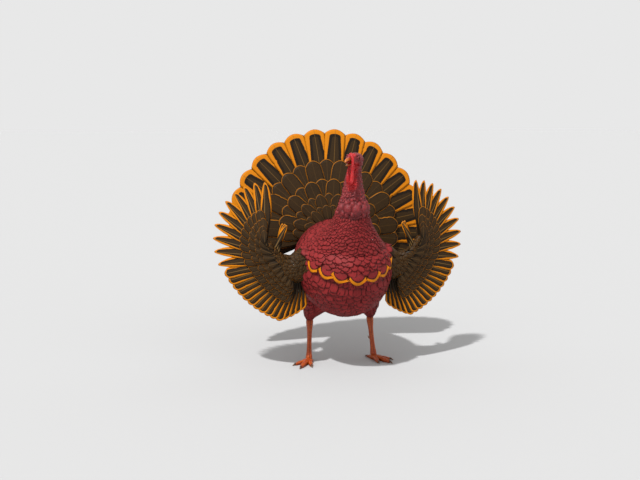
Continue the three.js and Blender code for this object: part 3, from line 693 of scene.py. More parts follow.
COVERT_FEATHER = FeatherFinish(
    "brown_covert_feather", vane="#36240C", root="#1A1105", rim="#A66402", band="#120A03", shaft="#5C421E",
    rim_width=3.4, band_width=3, rim_from=(0.3, 0.8), bar_spacing=8, barb_spacing=1, shaft_width=0.8,
)
DOWN_FEATHER = FeatherFinish(
    "mahogany_down", vane="#722426", root="#38120F", rim="#76282A", band="#62201F", shaft="#722426",
    bar_strength=0.03, barb_spacing=0.8, shaft_width=0.3, roughness=0.75, sheen=0.2, sheen_tint="#7A302C",
)


@dataclass(frozen=True)
class SkinFinish(Finish):
    """Bare living skin: pebbled, folded and flushed with blood, with painted shade in its folds, darker under
    feathers.
    """

    name: str = "bare_turkey_skin"
    bare: str = "#681E21"
    flush: str = "#7E2326"
    red: str = "#A41216"
    red_flush: str = "#B81A1C"
    pale: str = "#96444A"
    # painted shade: the colours that creases and hollows darken towards, on plain and on red skin
    painted_fold_shade: str = "#340C0E"
    painted_red_fold_shade: str = "#60080C"
    covered: str = "#33100F"
    brown: str = "#241708"
    pebble: float = 1.7
    wrinkle: float = 5

    def build(self) -> bpy.types.Material:
        """Makes the material from the maps "zone", how bare and how much painted shade, and "tone", how red
        and brown.
        """
        nodes = Nodes(self.name)
        add = nodes.add
        zone = add("SeparateXYZ", {0: add("UVMap", {}, uv_map="zone")}).node.outputs
        tone = add("SeparateXYZ", {0: add("UVMap", {}, uv_map="tone")}).node.outputs
        body = add("TexCoord", {}, output=3)
        blotch = add("TexNoise", {"Vector": body, "Scale": 1 / (16 * MM), "Detail": 3})
        pebbles = add("TexVoronoi", {"Vector": body, "Scale": 1 / (self.pebble * MM)})
        fold_inputs = {"Vector": body, "Scale": 1 / (self.wrinkle * MM), "Detail": 4, "Distortion": 1.2}
        folds = add("TexNoise", fold_inputs)
        flushed = add("MapRange", {0: blotch, 1: 0.38, 2: 0.62}, **EASED)
        calm = add("Mix", {0: flushed, FROM: self.bare, TO: self.flush}, **COLOURS)
        hot = add("Mix", {0: flushed, FROM: self.red, TO: self.red_flush}, **COLOURS)
        warm = add("Mix", {0: tone[0], FROM: calm, TO: hot}, **COLOURS)
        worn = add("MapRange", {0: folds, 1: 0.55, 2: 0.75, 3: 0, 4: 0.22}, **EASED)
        mottled = add("Mix", {0: worn, FROM: warm, TO: self.pale}, **COLOURS)
        # painted shade: creased and hollow skin is darkened by its share in the map zone
        shade = add("Mix", {0: tone[0], FROM: self.painted_fold_shade, TO: self.painted_red_fold_shade}, **COLOURS)
        painted_shade = add("Mix", {0: zone[1], FROM: mottled, TO: shade}, **COLOURS)
        hidden = add("Mix", {0: tone[1], FROM: self.covered, TO: self.brown}, **COLOURS)
        colour = add("Mix", {0: zone[0], FROM: hidden, TO: painted_shade}, **COLOURS)
        height = add("Math", {0: pebbles, 1: -0.6, 2: folds}, operation="MULTIPLY_ADD")
        bump = add("Bump", {"Strength": 0.8, "Distance": 1.0 * MM, "Height": height})
        rough = add("MapRange", {0: folds, 1: 0.3, 2: 0.7, 3: 0.58, 4: 0.42})
        shader = add("BsdfPrincipled", {
            "Base Color": colour, "Roughness": rough, "Normal": bump, "IOR": 1.4,
            "Subsurface Weight": 0.08, "Subsurface Scale": 0.003, "Subsurface Radius": (1.0, 0.3, 0.2),
        })
        add("OutputMaterial", {0: shader})
        return nodes.material


SKIN = SkinFinish()


@dataclass(frozen=True)
class HornFinish(Finish):
    """Grown keratin horn: smooth and faintly translucent, streaked along its growth, worn pale at its tip."""

    name: str
    horn: str
    dark: str
    tip: str
    roughness: float = 0.34
    streak: float = 1.6  # streaks of about 0.8 mm at the root of the bill

    def build(self) -> bpy.types.Material:
        """Makes the material from the map "place": the share from root to tip, and the angle round."""
        nodes = Nodes(self.name)
        add = nodes.add
        share = add("SeparateXYZ", {0: add("UVMap", {}, uv_map="place")}).node.outputs
        body = add("TexCoord", {}, output=3)
        long = add("CombineXYZ", {0: add("Math", {0: share[1], 1: 9}, operation="MULTIPLY"),
                                  1: add("Math", {0: share[0], 1: 1.5}, operation="MULTIPLY")})
        streaks = add("TexNoise", {"Vector": long, "Scale": self.streak, "Detail": 4})
        cloud = add("TexNoise", {"Vector": body, "Scale": 1 / (7 * MM), "Detail": 2})
        streaked = add("MapRange", {0: streaks, 1: 0.35, 2: 0.65, 3: 0, 4: 0.6}, **EASED)
        base = add("Mix", {0: streaked, FROM: self.horn, TO: self.dark}, **COLOURS)
        tipped = add("MapRange", {0: share[0], 1: 0.45, 2: 1, 3: 0, 4: 0.8}, **EASED)
        colour = add("Mix", {0: tipped, FROM: base, TO: self.tip}, **COLOURS)
        rough = add("Math", {0: cloud, 1: 0.25, 2: self.roughness - 0.1}, operation="MULTIPLY_ADD")
        bump = add("Bump", {"Strength": 0.25, "Distance": 0.4 * MM, "Height": streaks})
        shader = add("BsdfPrincipled", {
            "Base Color": colour, "Roughness": rough, "Normal": bump, "IOR": 1.54,
            "Subsurface Weight": 0.08, "Subsurface Scale": 0.003,
        })
        add("OutputMaterial", {0: shader})
        return nodes.material


BILL_HORN = HornFinish("orange_bill_horn", horn="#A23E02", dark="#742802", tip="#C06C10")
CLAW_HORN = HornFinish("dark_claw_horn", horn="#4E2C14", dark="#281408", tip="#7E5630")
SPUR_HORN = HornFinish("spur_horn", horn="#7E5024", dark="#4E2C14", tip="#B08C54")


@dataclass(frozen=True)
class ScaleFinish(Finish):
    """Scaled leg skin: hard waxy plates with darker grime in the joints and paler worn crowns."""

    name: str
    plate: str
    worn: str
    joint: str

    def build(self) -> bpy.types.Material:
        """Makes the material from the map "relief": how high a point stands on its plate."""
        nodes = Nodes(self.name)
        add = nodes.add
        relief = add("SeparateXYZ", {0: add("UVMap", {}, uv_map="relief")}).node.outputs
        body = add("TexCoord", {}, output=3)
        cloud = add("TexNoise", {"Vector": body, "Scale": 1 / (12 * MM), "Detail": 3})
        fine = add("TexVoronoi", {"Vector": body, "Scale": 1 / (2.2 * MM)}, feature="DISTANCE_TO_EDGE")
        grime = add("MapRange", {0: relief[0], 1: 0.1, 2: 0.55, 3: 1, 4: 0}, **EASED)
        crown = add("MapRange", {0: cloud, 1: 0.4, 2: 0.7, 3: 0, 4: 0.7}, **EASED)
        base = add("Mix", {0: crown, FROM: self.plate, TO: self.worn}, **COLOURS)
        colour = add("Mix", {0: grime, FROM: base, TO: self.joint}, **COLOURS)
        pores = add("MapRange", {0: fine, 1: 0, 2: 0.12}, **EASED)
        bump = add("Bump", {"Strength": 0.3, "Distance": 0.3 * MM, "Height": pores})
        rough = add("MapRange", {0: cloud, 1: 0.3, 2: 0.7, 3: 0.5, 4: 0.38})
        shader = add("BsdfPrincipled", {
            "Base Color": colour, "Roughness": rough, "Normal": bump, "IOR": 1.5, "Specular IOR Level": 0.35,
            "Coat Weight": 0.1, "Coat Roughness": 0.35,
        })
        add("OutputMaterial", {0: shader})
        return nodes.material


LEG_SCALE = ScaleFinish("orange_leg_scale", plate="#A03C06", worn="#B45810", joint="#521A04")


@dataclass(frozen=True)
class EyeFinish(Finish):
    """A living eye: a clear wet cornea over a fibred brown iris and an open pupil."""

    name: str = "wet_brown_eye"
    iris: str = "#381A05"
    fibre: str = "#6E3A0C"
    pupil: str = "#040202"
    white: str = "#2A160C"
    pupil_radius: float = 2.5
    iris_radius: float = 4.2

    def build(self) -> bpy.types.Material:
        """Makes the material from the map "gaze": the radius from the middle of the pupil, and the angle."""
        nodes = Nodes(self.name)
        add = nodes.add
        gaze = add("SeparateXYZ", {0: add("UVMap", {}, uv_map="gaze")}).node.outputs
        spokes = add("CombineXYZ", {0: add("Math", {0: gaze[1], 1: 40}, operation="MULTIPLY"),
                                    1: add("Math", {0: gaze[0], 1: 1.2 / MM}, operation="MULTIPLY")})
        fibres = add("TexNoise", {"Vector": spokes, "Scale": 1, "Detail": 2})
        threads = add("MapRange", {0: fibres, 1: 0.4, 2: 0.62}, **EASED)
        iris = add("Mix", {0: threads, FROM: self.iris, TO: self.fibre}, **COLOURS)
        pupil, edge = self.pupil_radius * MM, self.iris_radius * MM
        past_pupil = add("MapRange", {0: gaze[0], 1: pupil, 2: pupil + 0.3 * MM}, **EASED)
        past_iris = add("MapRange", {0: gaze[0], 1: edge, 2: edge + 0.7 * MM}, **EASED)
        inner = add("Mix", {0: past_pupil, FROM: self.pupil, TO: iris}, **COLOURS)
        colour = add("Mix", {0: past_iris, FROM: inner, TO: self.white}, **COLOURS)
        shader = add("BsdfPrincipled", {
            "Base Color": colour, "Roughness": 0.5, "Specular IOR Level": 0.02, "Coat Weight": 0.6,
            "Coat Roughness": 0.02, "Coat IOR": 1.28,
        })
        add("OutputMaterial", {0: shader})
        return nodes.material


@dataclass(frozen=True)
class FloorFinish(Finish):
    """Matt painted studio floor: even, pale and barely grained."""

    name: str = "matt_studio_paint"
    paint: str = "#B2B2B2"

    def build(self) -> bpy.types.Material:
        """Makes the material."""
        nodes = Nodes(self.name)
        add = nodes.add
        body = add("TexCoord", {}, output=3)
        fine = add("TexNoise", {"Vector": body, "Scale": 1 / (3 * MM), "Detail": 1})
        bump = add("Bump", {"Strength": 0.05, "Distance": 0.2 * MM, "Height": fine})
        shader = add("BsdfPrincipled", {
            "Base Color": self.paint, "Roughness": 0.9, "Normal": bump, "Specular IOR Level": 0.1,
        })
        add("OutputMaterial", {0: shader})
        return nodes.material


# --- Feathers ---

class Cut(Enum):
    """The outline of each kind of feather, as rows of share of length and share of half width."""

    TAIL = ((0, 0.05), (0.1, 0.2), (0.24, 0.44), (0.6, 0.86), (0.88, 1), (1, 0.98))
    PRIMARY = ((0, 0.16), (0.12, 0.4), (0.3, 0.62), (0.55, 0.86), (0.8, 0.74), (1, 0.5))
    SECONDARY = ((0, 0.2), (0.2, 0.5), (0.5, 0.8), (0.88, 1), (1, 0.96))
    COVERT = ((0, 0.14), (0.2, 0.5), (0.5, 0.86), (0.85, 1), (1, 0.9))
    CONTOUR = ((0, 0.2), (0.3, 0.74), (0.6, 1), (0.85, 1), (1, 0.9))
    SLIM = ((0, 0.2), (0.3, 0.7), (0.6, 1), (0.85, 0.75), (1, 0.3))


def each(value: float | Array, count: int) -> Array:
    """Returns one number for each of count things, from a single number or one for each."""
    return np.broadcast_to(np.asarray(value, dtype=float), (count,))


def station_shares(stations: int) -> Array:
    """Returns the shares of a feather's length where its points lie, closer together at the tip."""
    return np.linspace(0, 1, stations) ** 0.85


@dataclass
class Feathers:
    """Many feathers of one cut, each as a closed vane with a raised shaft along a bent line.

    centres and fronts hold, for each feather and station, the point on its shaft and the way its upper face
    looks. length and width are in metres, camber and ridge in millimetres. lead is the share of the width on
    the side of tangent x front, and tilt is how much that side's edge is raised, as a share of its distance.
    gold is how much of the rim each one wears, and round_tip how far the tip's corners are drawn back, as a
    share of the width.
    """

    centres: Array
    fronts: Array
    length: Array
    width: Array
    cut: Cut
    columns: int = 5
    lead: float | Array = 0.5
    gold: float | Array = 0.0
    camber: float = 1.2
    ridge: float = 0.5
    round_tip: float = 0.5
    fray: float = 0  # share of the length by which the barbs of the tip part
    tilt: float | Array = 0.0
    notches: int = 0
    seed: int = 1
    patches: Array | None = None
    patch_size: tuple[float, float] = (0.003, 0.003)

    def __post_init__(self) -> None:
        """Readies the random draw, and how many feathers, stations and columns there are."""
        self.draw = np.random.default_rng(self.seed)
        self.shape = (*self.centres.shape[:2], self.columns)

    def form(self) -> Form:
        """Returns all the vanes as one form with the maps that feather finishes read."""
        share = station_shares(self.shape[1])
        wide = profile([list(row) for row in self.cut.value], share)[:, 0]
        half = wide[None, :] * (self.width / 2)[:, None]
        half = np.repeat(half[:, :, None], 2, axis=2)
        if self.notches:
            half *= self.torn()
        lead = each(self.lead, self.shape[0])
        t = np.linspace(-1, 1, self.columns)
        side_share = np.where(t[None] < 0, 2 * (1 - lead[:, None]), 2 * lead[:, None])
        reach = np.where(t[None, None] < 0, half[..., :1], half[..., 1:])
        across = t[None, None] * side_share[:, None] * reach
        tangent = unit(np.gradient(self.centres, axis=1))
        side = unit(np.cross(tangent, self.fronts))
        front = unit(np.cross(side, tangent))
        # The tip is rounded by drawing the outer columns back along the shaft.
        back = -self.round_tip * self.width[:, None, None] * (t**2)[None, None] * (share**6)[None, :, None]
        if self.fray:
            parted = self.draw.random((self.shape[0], 1, self.columns)) * self.fray
            back = back - parted * self.length[:, None, None] * (share**9)[None, :, None]
        rise = (self.ridge * (1 - np.abs(t)) ** 2 - self.camber * t**2)[None, None] * MM
        tilt = each(self.tilt, self.shape[0])[:, None, None] * across
        rise = (rise + tilt) * (0.3 + 0.7 * share[None, :, None])
        top = (
            self.centres[:, :, None]
            + side[:, :, None] * across[..., None]
            + tangent[:, :, None] * back[..., None]
            + front[:, :, None] * rise[..., None]
        )
        under = top - front[:, :, None] * (0.35 * MM)
        along = self.length[:, None, None] * share[None, :, None] + back
        to_side = reach * side_share[:, None] * (1 - np.abs(t))[None, None]
        to_tip = self.length[:, None, None] + back[:, -1:, :] - along
        narrow = np.clip(self.width / (60 * MM), 0.4, 1)[:, None, None]
        rim = np.minimum(to_side, np.maximum(to_tip, 0)) / narrow
        maps = {
            "vane": np.stack([across, along], axis=-1),
            "rim": np.stack([rim, np.broadcast_to(share[None, :, None], self.shape)], axis=-1),
            "tint": self.tints(),
            BAKE_MAP: self.bake_places(share, t),
        }
        return self.woven(top, under, maps)

    def torn(self) -> Array:
        """Returns the share of each half width that is left where the vane has split, for both sides."""
        count, stations, _ = self.shape
        left = np.ones((count, stations, 2))
        for _ in range(self.notches):
            where = self.draw.integers(stations // 3, stations - 3, size=(count, 2))
            depth = self.draw.uniform(0.0, 0.07, size=(count, 2))
            for side in (0, 1):
                left[np.arange(count), where[:, side], side] -= depth[:, side]
        return np.clip(left, 0.6, 1)

    def tints(self) -> Array:
        """Returns a random value and the gold of each feather, at each of its points."""
        values = self.draw.random(self.shape[0]), each(self.gold, self.shape[0])
        return np.stack([np.broadcast_to(value[:, None, None], self.shape) for value in values], axis=-1)

    def bake_places(self, share: Array, t: Array) -> Array:
        """Returns each point's place on the bake map, in a small patch for each feather.

        Args:
            share: The share of the length at each station.
            t: The place of each column, from -1 to 1.

        Returns:
            Two values for each point.
        """
        middles, size = atlas(self.shape[0]) if self.patches is None else (self.patches, self.patch_size)
        u = middles[:, None, None, 0] + size[0] * 0.5 * t[None, None]
        v = middles[:, None, None, 1] + size[1] * (share[None, :, None] - 0.5)
        return np.stack([np.broadcast_to(u, self.shape), np.broadcast_to(v, self.shape)], axis=-1)

    def woven(self, top: Array, under: Array, maps: dict[str, Array]) -> Form:
        """Returns the upper and lower faces of each vane, sewn together along its edge.

        Args:
            top: The points of the upper faces.
            under: Those of the lower faces.
            maps: Two values for each point, by the name of their map.

        Returns:
            The closed vanes.
        """
        count, stations, columns = top.shape[:3]
        number = np.arange(stations * columns).reshape(stations, columns)
        inner = np.zeros((stations, columns), dtype=bool)
        inner[1:-1, 1:-1] = True
        lower = number.copy()
        lower[inner] = stations * columns + np.arange(int(inner.sum()))
        size = stations * columns + int(inner.sum())
        quads = grid_faces(stations, columns)
        below = lower.ravel()[quads][:, ::-1]
        one = np.vstack([quads, below])
        faces = (one[None] + (np.arange(count) * size)[:, None, None]).reshape(-1, 4)
        points = np.concatenate([top.reshape(count, -1, 3), under[:, inner]], axis=1).reshape(-1, 3)
        flat = {
            key: np.concatenate([value.reshape(count, -1, 2), value[:, inner]], axis=1).reshape(-1, 2)
            for key, value in maps.items()
        }
        return Form(points, [faces], flat)


def atlas(count: int, margin: float = 0.1) -> tuple[Array, tuple[float, float]]:
    """Shares out the bake map among feathers, in tall cells.

    Args:
        count: How many cells.
        margin: The share of a cell that stays free.

    Returns:
        The middles of the cells, and the size of a feather's island in one.
    """
    rows = max(1, round(math.sqrt(count / 16)))
    columns = math.ceil(count / rows)
    k = np.arange(count)
    middles = np.stack([(k % columns + 0.5) / columns, (k // columns + 0.5) / rows], axis=1)
    return middles, ((1 - margin) / columns, (1 - margin) / rows)


def curled(root: Array, along: Array, face: Array, length: Array, curl: Array | float,
           stations: int) -> tuple[Array, Array]:
    """Returns the bent lines of feathers that curl evenly away from the way they face.

    Args:
        root: Where each one starts.
        along: The way each one leaves.
        face: The way its upper side looks.
        length: Their lengths in metres.
        curl: Radians that each turns in a metre.
        stations: How many points along each.

    Returns:
        The points along each feather, and the way its upper side looks there.
    """
    share = station_shares(stations)
    out = unit(along)
    front = unit(face - dot(face, out) * out)
    curl = each(curl, len(length))
    turn = (curl * length)[:, None] * share[None]
    run = np.sin(turn) / curl[:, None]
    drop = (1 - np.cos(turn)) / curl[:, None]
    centres = root[:, None] + out[:, None] * run[..., None] - front[:, None] * drop[..., None]
    fronts = front[:, None] * np.cos(turn)[..., None] + out[:, None] * np.sin(turn)[..., None]
    return centres, fronts


# --- The flesh ---

COAT_DEPTH = 9  # the skin lies this far, in millimetres, under the outline of the feathered body
COAT_TOP = 0.535  # share of the neck's length where the coat ends and its bare skin begins
NECK_ROWS = [[0, 150, 130], [0.2, 138, 124], [0.36, 102, 98], [0.5, 70, 71], [0.65, 48, 51], [0.82, 33, 37],
             [0.92, 26, 30], [1, 22, 26]]


def neck_spine() -> list[Array]:
    """Returns the points of the neck from the breast to the back of the skull."""
    stops = ((-88, 420), (-134, 520), (-168, 610), (-186, 700), (-188, 770))
    return [*(place(0, y, z) for y, z in stops), head_point(-12, 0, -4)]


def trunk_limb() -> Limb:
    """Returns the trunk from breast to vent."""
    w, h, middle = 196, 194, 404
    stops = ((-262, 14), (-170, 8), (-40, 0), (90, 4), (200, 32), (292, 58))
    spine = [place(0, y, middle + over) for y, over in stops]
    rows = [
        [0, 0.5 * w, 0.44 * h, 0.54 * h],
        [0.12, 0.72 * w, 0.66 * h, 0.82 * h],
        [0.28, 0.93 * w, 0.86 * h, h],
        [0.45, w, 0.94 * h, h],
        [0.6, 0.97 * w, 0.94 * h, 0.93 * h],
        [0.75, 0.84 * w, 0.84 * h, 0.76 * h],
        [0.88, 0.62 * w, 0.64 * h, 0.54 * h],
        [1, 0.36 * w, 0.38 * h, 0.32 * h],
    ]
    return Limb(spine, rows, sides=64, steps=48, dome=(0.16, 0.12))


@dataclass
class WingFrame:
    """The plane of one raised wing: out from the body, up along the hand, and the way its face looks."""

    side: int
    wrist_out: float = 264
    wrist_height: float = 442

    def __post_init__(self) -> None:
        """Works out the wing's three directions and its wrist."""
        self.face = unit(vec(0.22 * self.side, -0.95, 0.2))
        sideways = vec(self.side, 0, 0)
        self.out = unit(sideways - np.dot(sideways, self.face) * self.face)
        upward = vec(0, 0, 1)
        self.up = unit(upward - np.dot(upward, self.face) * self.face - np.dot(upward, self.out) * self.out)
        self.wrist = place(self.side * self.wrist_out, -58, self.wrist_height)

    def point(self, out: float, up: float, forward: float) -> Array:
        """Returns a point of the wing from millimetres out, up and forward of the wrist."""
        return self.wrist + (out * self.out + up * self.up + forward * self.face) * MM

    def read(self, points: Array) -> Array:
        """Returns millimetres out, up and forward of the wrist for each point."""
        away = (points - self.wrist) / MM
        return np.stack([away @ self.out, away @ self.up, away @ self.face], axis=-1)

    def way(self, degrees: Array | float) -> Array:
        """Returns directions in the wing's plane, by their angle from out towards up."""
        angle = np.radians(np.atleast_1d(degrees))[:, None]
        return np.cos(angle) * self.out + np.sin(angle) * self.up

    def arm_limb(self) -> Limb:
        """Returns the flesh of the arm, from the shoulder to the wrist."""
        spine = [self.point(-128, 16, 12), self.point(-92, -18, -10), self.point(-52, -34, -18),
                 self.point(-26, -18, -12), self.point(8, 10, 0)]
        rows = [[0, 58, 40], [0.3, 62, 38], [0.56, 58, 32], [0.75, 43, 26], [0.9, 29, 21], [1, 25, 20]]
        return Limb(spine, rows, across=self.up, dome=(0.1, 0.08))

    def hand_limb(self) -> Limb:
        """Returns the flesh of the hand, from the wrist to the tip of the wing."""
        spine = [self.point(-8, -10, -2), self.point(30, 38, 8), self.point(66, 88, 18)]
        rows = [[0, 24, 21], [0.5, 20, 19], [1, 13, 16]]
        return Limb(spine, rows, sides=24, steps=20, across=self.out, dome=(0.1, 0.18))


FOOT_OUT = 138
ANKLE_HEIGHT = 168


def foot_middle(side: int) -> Array:
    """Returns the middle of a foot, at the height of the lowest end of the shank."""
    return place(side * FOOT_OUT, -2, 15)


def ankle(side: int) -> Array:
    """Returns the ankle joint of a leg."""
    return place(side * (FOOT_OUT - 10), 30, ANKLE_HEIGHT)


def thigh_limb(side: int) -> Limb:
    """Returns the feathered leg, from inside the body to its cuff at the ankle.

    Args:
        side: -1 for his right, 1 for his left.

    Returns:
        The limb.
    """
    joint = ankle(side)
    spine = [place(side * 84, 14, 330), place(side * 104, 6, 264), joint + vec(0, -4, 26) * MM, joint]
    rows = [[0, 70, 86], [0.35, 62, 74], [0.7, 36, 42], [0.9, 21, 23], [1, 17, 18]]
    return Limb(spine, rows, dome=(0.12, 0.1))


@dataclass
class Skin:
    """The bird's own skin: one surface over trunk, neck, head, thighs and arms, bare from the neck up."""

    body_grain: float = 5
    head_grain: float = 1.3
    ring_spacing: float = 5.3  # of the folds that run round the neck
    crease_size: float = 9
    lid_reach: float = 15  # how far from the pupil the lids begin
    seed: int = 41

    def __post_init__(self) -> None:
        """Builds the skin's mesh, its normals and a search tree over it."""
        self.draw = np.random.default_rng(self.seed)
        self.neck = Spine(neck_spine())
        self.cut_point = self.neck.at(COAT_TOP)[0]
        self.cut_axis = self.neck.heading(COAT_TOP)[0]
        self.body = self.body_shell()
        self.head = self.head_shell()
        polygons = [corners.tolist() for faces in self.body.faces for corners in faces]
        self.tree = BVHTree.FromPolygons([Vector(p) for p in self.body.points], polygons)

    def above_neck_cut(self, points: Array) -> Array:
        """Returns how many millimetres each point lies above the line where the coat ends on the neck."""
        return (points - self.cut_point) @ self.cut_axis / MM

    def neck_limb(self, start: float, stop: float, depth: Array, sides: int, steps: int) -> Limb:
        """Returns a stretch of the neck, tucked in under its feathered outline.

        Args:
            start: The share of the neck's length where it begins.
            stop: The share where it ends.
            depth: Rows of a share and how far it is tucked in there, in millimetres.
            sides: How many points round it.
            steps: How many steps along it.

        Returns:
            The limb.
        """
        shares = np.linspace(start, stop, 16)
        sizes = profile(NECK_ROWS, shares) - np.interp(shares, depth[:, 0], depth[:, 1])[:, None]
        rows = np.hstack([((shares - start) / (stop - start))[:, None], sizes])
        return Limb(list(self.neck.at(shares)), rows.tolist(), sides=sides, steps=steps, dome=(0.05, 0.08))

    def body_shell(self) -> Form:
        """Returns the surface that the contour feathers grow from."""
        top = COAT_TOP + 0.05
        depth = np.array([[0, COAT_DEPTH], [COAT_TOP - 0.14, COAT_DEPTH], [COAT_TOP, 3.2], [top, 8]])
        limbs = [trunk_limb().grown(-COAT_DEPTH), self.neck_limb(0, top, depth, 64, 60)]
        for side in SIDES.values():
            wing = WingFrame(side)
            limbs += [thigh_limb(side).grown(-0.6 * COAT_DEPTH), wing.arm_limb().grown(-6),
                      wing.hand_limb().grown(-5)]
        return smoothed(remeshed([limb.form() for limb in limbs], self.body_grain), 5)

    def caruncles(self) -> list[Form]:
        """Returns the bulbs and beads of the bare neck, biggest low on the throat."""
        beads = []

        def bead(share: float, angle: float, radius: float, stretch: float, proud: float = 0.97) -> None:
            """Adds one bead.

            Args:
                share: Its place along the neck.
                angle: Its place round the neck, from the front.
                radius: Its half size in millimetres.
                stretch: How much taller than wide it is.
                proud: Where its middle lies, as a share of the neck's own radius.
            """
            width, depth = profile(NECK_ROWS, np.array([share]))[0]
            away = vec(math.sin(angle) * width, -math.cos(angle) * depth, 0)
            middle = self.neck.at(share)[0] + away * proud * MM
            beads.append(ball(middle, (radius, radius, radius * stretch)))

        throat_row = 5
        for k in range(throat_row):
            p = k / (throat_row - 1) - 0.5
            bead(0.57 + 0.03 * abs(p), 2.3 * p, 19 - 8 * abs(p), 1.3, 0.93)
            bead(0.615 + 0.03 * abs(p), 2.0 * (p + 0.11), 11 - 4 * abs(p), 1.2, 0.98)
        rows = 17
        for row in range(rows):
            share = COAT_TOP + 0.005 + 0.0245 * row
            radius = lerp(8.2, 3.0, (row / (rows - 1)) ** 0.8)
            width = profile(NECK_ROWS, np.array([share]))[0, 0]
            count = int(2 * math.pi * width / (2.05 * radius))
            for k in range(count):
                angle = 2 * math.pi * (k + 0.5 * (row % 2) + self.draw.normal(0, 0.22)) / count
                front = 0.5 + 0.5 * math.cos(angle)
                size = radius * self.draw.uniform(0.5, 1.05) * lerp(0.78, 1.12, front)
                bead(share + self.draw.normal(0, 0.005), angle, size, self.draw.uniform(1, 1.45))
        return beads

    def face_lumps(self) -> list[Form]:
        """Returns the cheeks, brows, corners of the gape, and the small beads of crown, cheek and nape."""
        lumps = [ball(head_point(25, 0, 13), (10, 11, 6), HEAD_AXES, 24)]
        for side in SIDES.values():
            lumps += [
                ball(head_point(-6, side * 21, -12), (9, 15, 12), HEAD_AXES, 24),
                ball(head_point(16, side * 20, 15.5), (6, 12, 3.6), HEAD_AXES, 24),
                ball(head_point(22, side * 15, -12), (5, 14, 6), HEAD_AXES, 24),
                ball(head_point(38, side * 9, -7.5), (3.4, 9, 5), HEAD_AXES, 24),
            ]
        for angle in np.linspace(-0.35, math.pi + 0.35, 11):
            left, up = 12.2 * math.cos(angle), -2 + 9.6 * math.sin(angle)
            lumps.append(ball(head_point(33, left, up), (3.2, 4.6, 3.2), HEAD_AXES, 16))
        for angle in np.linspace(math.pi, 2 * math.pi, 7):
            left, up = 10.4 * math.cos(angle), -13 + 5.4 * math.sin(angle)
            lumps.append(ball(head_point(32, left, up), (2.6, 4.2, 2.6), HEAD_AXES, 16))
        count = 150
        turn = self.draw.uniform(-1.9, 1.9, size=count)  # from the crown down either cheek
        back = self.draw.uniform(-34, 22, size=count)
        for angle, forward in zip(turn, back):
            side_reach = 26 * math.sqrt(max(1 - ((forward + 4) / 44) ** 2, 0.1))
            left, up = side_reach * math.sin(angle), 1 + 25 * math.cos(angle) * side_reach / 27
            size = self.draw.uniform(1.2, 2.8)
            near_eye = math.hypot(forward - EYE_PLACE[0], up - EYE_PLACE[2]) < 15 and abs(left) > 12
            if not near_eye:
                lumps.append(ball(head_point(forward, left, up), (size, size, size), HEAD_AXES, 10))
        return lumps

    def head_shell(self) -> Form:
        """Returns the bare neck and head, folded and beaded, with lids round the eyes and cups for ears."""
        depth = np.array([[-0.06, 18], [-0.02, 4], [0.02, 2], [0.08, 0.5]]) + [COAT_TOP, 0]
        skull_spine = head_line((-42, 0, -2), (-10, 0, 2), (20, 0, 0), (46, 0, -5))
        skull_rows = [[0, 20, 17, 19], [0.2, 27, 25, 25], [0.45, 28, 26, 25], [0.7, 23, 20, 21],
                      [0.88, 16, 14, 17], [1, 12, 10, 13]]
        skull = Limb(skull_spine, skull_rows, sides=64, steps=48, across=HEAD_LEFT, dome=(0.3, 0.14))
        neck = self.neck_limb(COAT_TOP - 0.06, 1, depth, 96, 90)
        forms = [neck.form(), skull.form(), *self.caruncles(), *self.face_lumps()]
        return self.folded(smoothed(remeshed(forms, self.head_grain), 2, 0.35))

    def folded(self, form: Form) -> Form:
        """Returns the bare skin with its folds, eye openings and ear cups pressed in.

        Args:
            form: The melted skin.

        Returns:
            The skin with its relief.
        """
        normals = point_normals(form)
        points = form.points
        heights = (points - self.cut_point) @ self.cut_axis / MM
        wander = grain(points, 13)
        creased = 1 - 2.4 * np.abs(grain(points * np.array([1, 1, 1.7]), self.crease_size, 11))
        turns = 2 * math.pi * heights / self.ring_spacing + 9 * wander
        rings = 0.22 * np.sin(turns) * smoothstep(-0.2, 0.4, wander)
        folds = 0.45 * creased + rings
        lumps = 0.6 * grain(points, 7, 3) + 0.35 * grain(points, 3.6, 5)
        near_face = np.linalg.norm(points - head_point(6, 0, 0), axis=1) / MM
        calm = lerp(0.6, 1.0, smoothstep(20, 48, near_face))
        points = points + normals * ((folds + lumps) * calm)[:, None] * MM
        for side in SIDES.values():
            points = self.with_eye(points, side)
            points = self.with_ear(points, side)
        return Form(points, form.faces)

    def with_eye(self, points: Array, side: int) -> Array:
        """Lifts the lids of one eye round its globe and parts the skin over it.

        Args:
            points: The skin's points.
            side: -1 for his right, 1 for his left.

        Returns:
            The points where they lie then.
        """
        centre = eye_middle(side)
        away = (points - centre) / MM
        forward, up, out = -(away @ HEAD_BACK), away @ HEAD_UP, side * (away @ HEAD_LEFT)
        radius = np.hypot(forward, up)
        angle = np.arctan2(up, forward)
        opening = EyeLids.opening(angle)
        globe = np.sqrt(np.maximum((EYE_RADIUS + 0.6) ** 2 - radius**2, 0))
        margin = 0.8 * np.exp(-(((radius - opening) / 1.3) ** 2))
        creases = 0.5 * np.sin(2 * math.pi * (radius - opening) / 2.6)
        blend = smoothstep(7, 13.5, radius)
        lid = lerp(globe + margin + creases * smoothstep(1, 3, radius - opening), out - 0.9 + creases, blend)
        lid = np.where(radius < opening - 0.4, globe - 2.6, lid)
        near = (radius < self.lid_reach) & (out > -2)
        fade = np.where(near, np.clip((self.lid_reach - radius) / 4, 0, 1), 0)
        moved = lerp(out, lid, fade)
        return points + ((moved - out) * side)[:, None] * HEAD_LEFT * MM

    def with_ear(self, points: Array, side: int) -> Array:
        """Presses in the cup of one ear and raises its rim.

        Args:
            points: The skin's points.
            side: -1 for his right, 1 for his left.

        Returns:
            The points where they lie then.
        """
        centre = head_point(-17, side * 28, -2)
        away = (points - centre) / MM
        radius = np.linalg.norm(away, axis=1)
        depth = -4.2 * np.exp(-((radius / 3) ** 2)) + 1.3 * np.exp(-(((radius - 5.6) / 1.3) ** 2))
        return points + (depth * side)[:, None] * HEAD_LEFT * MM

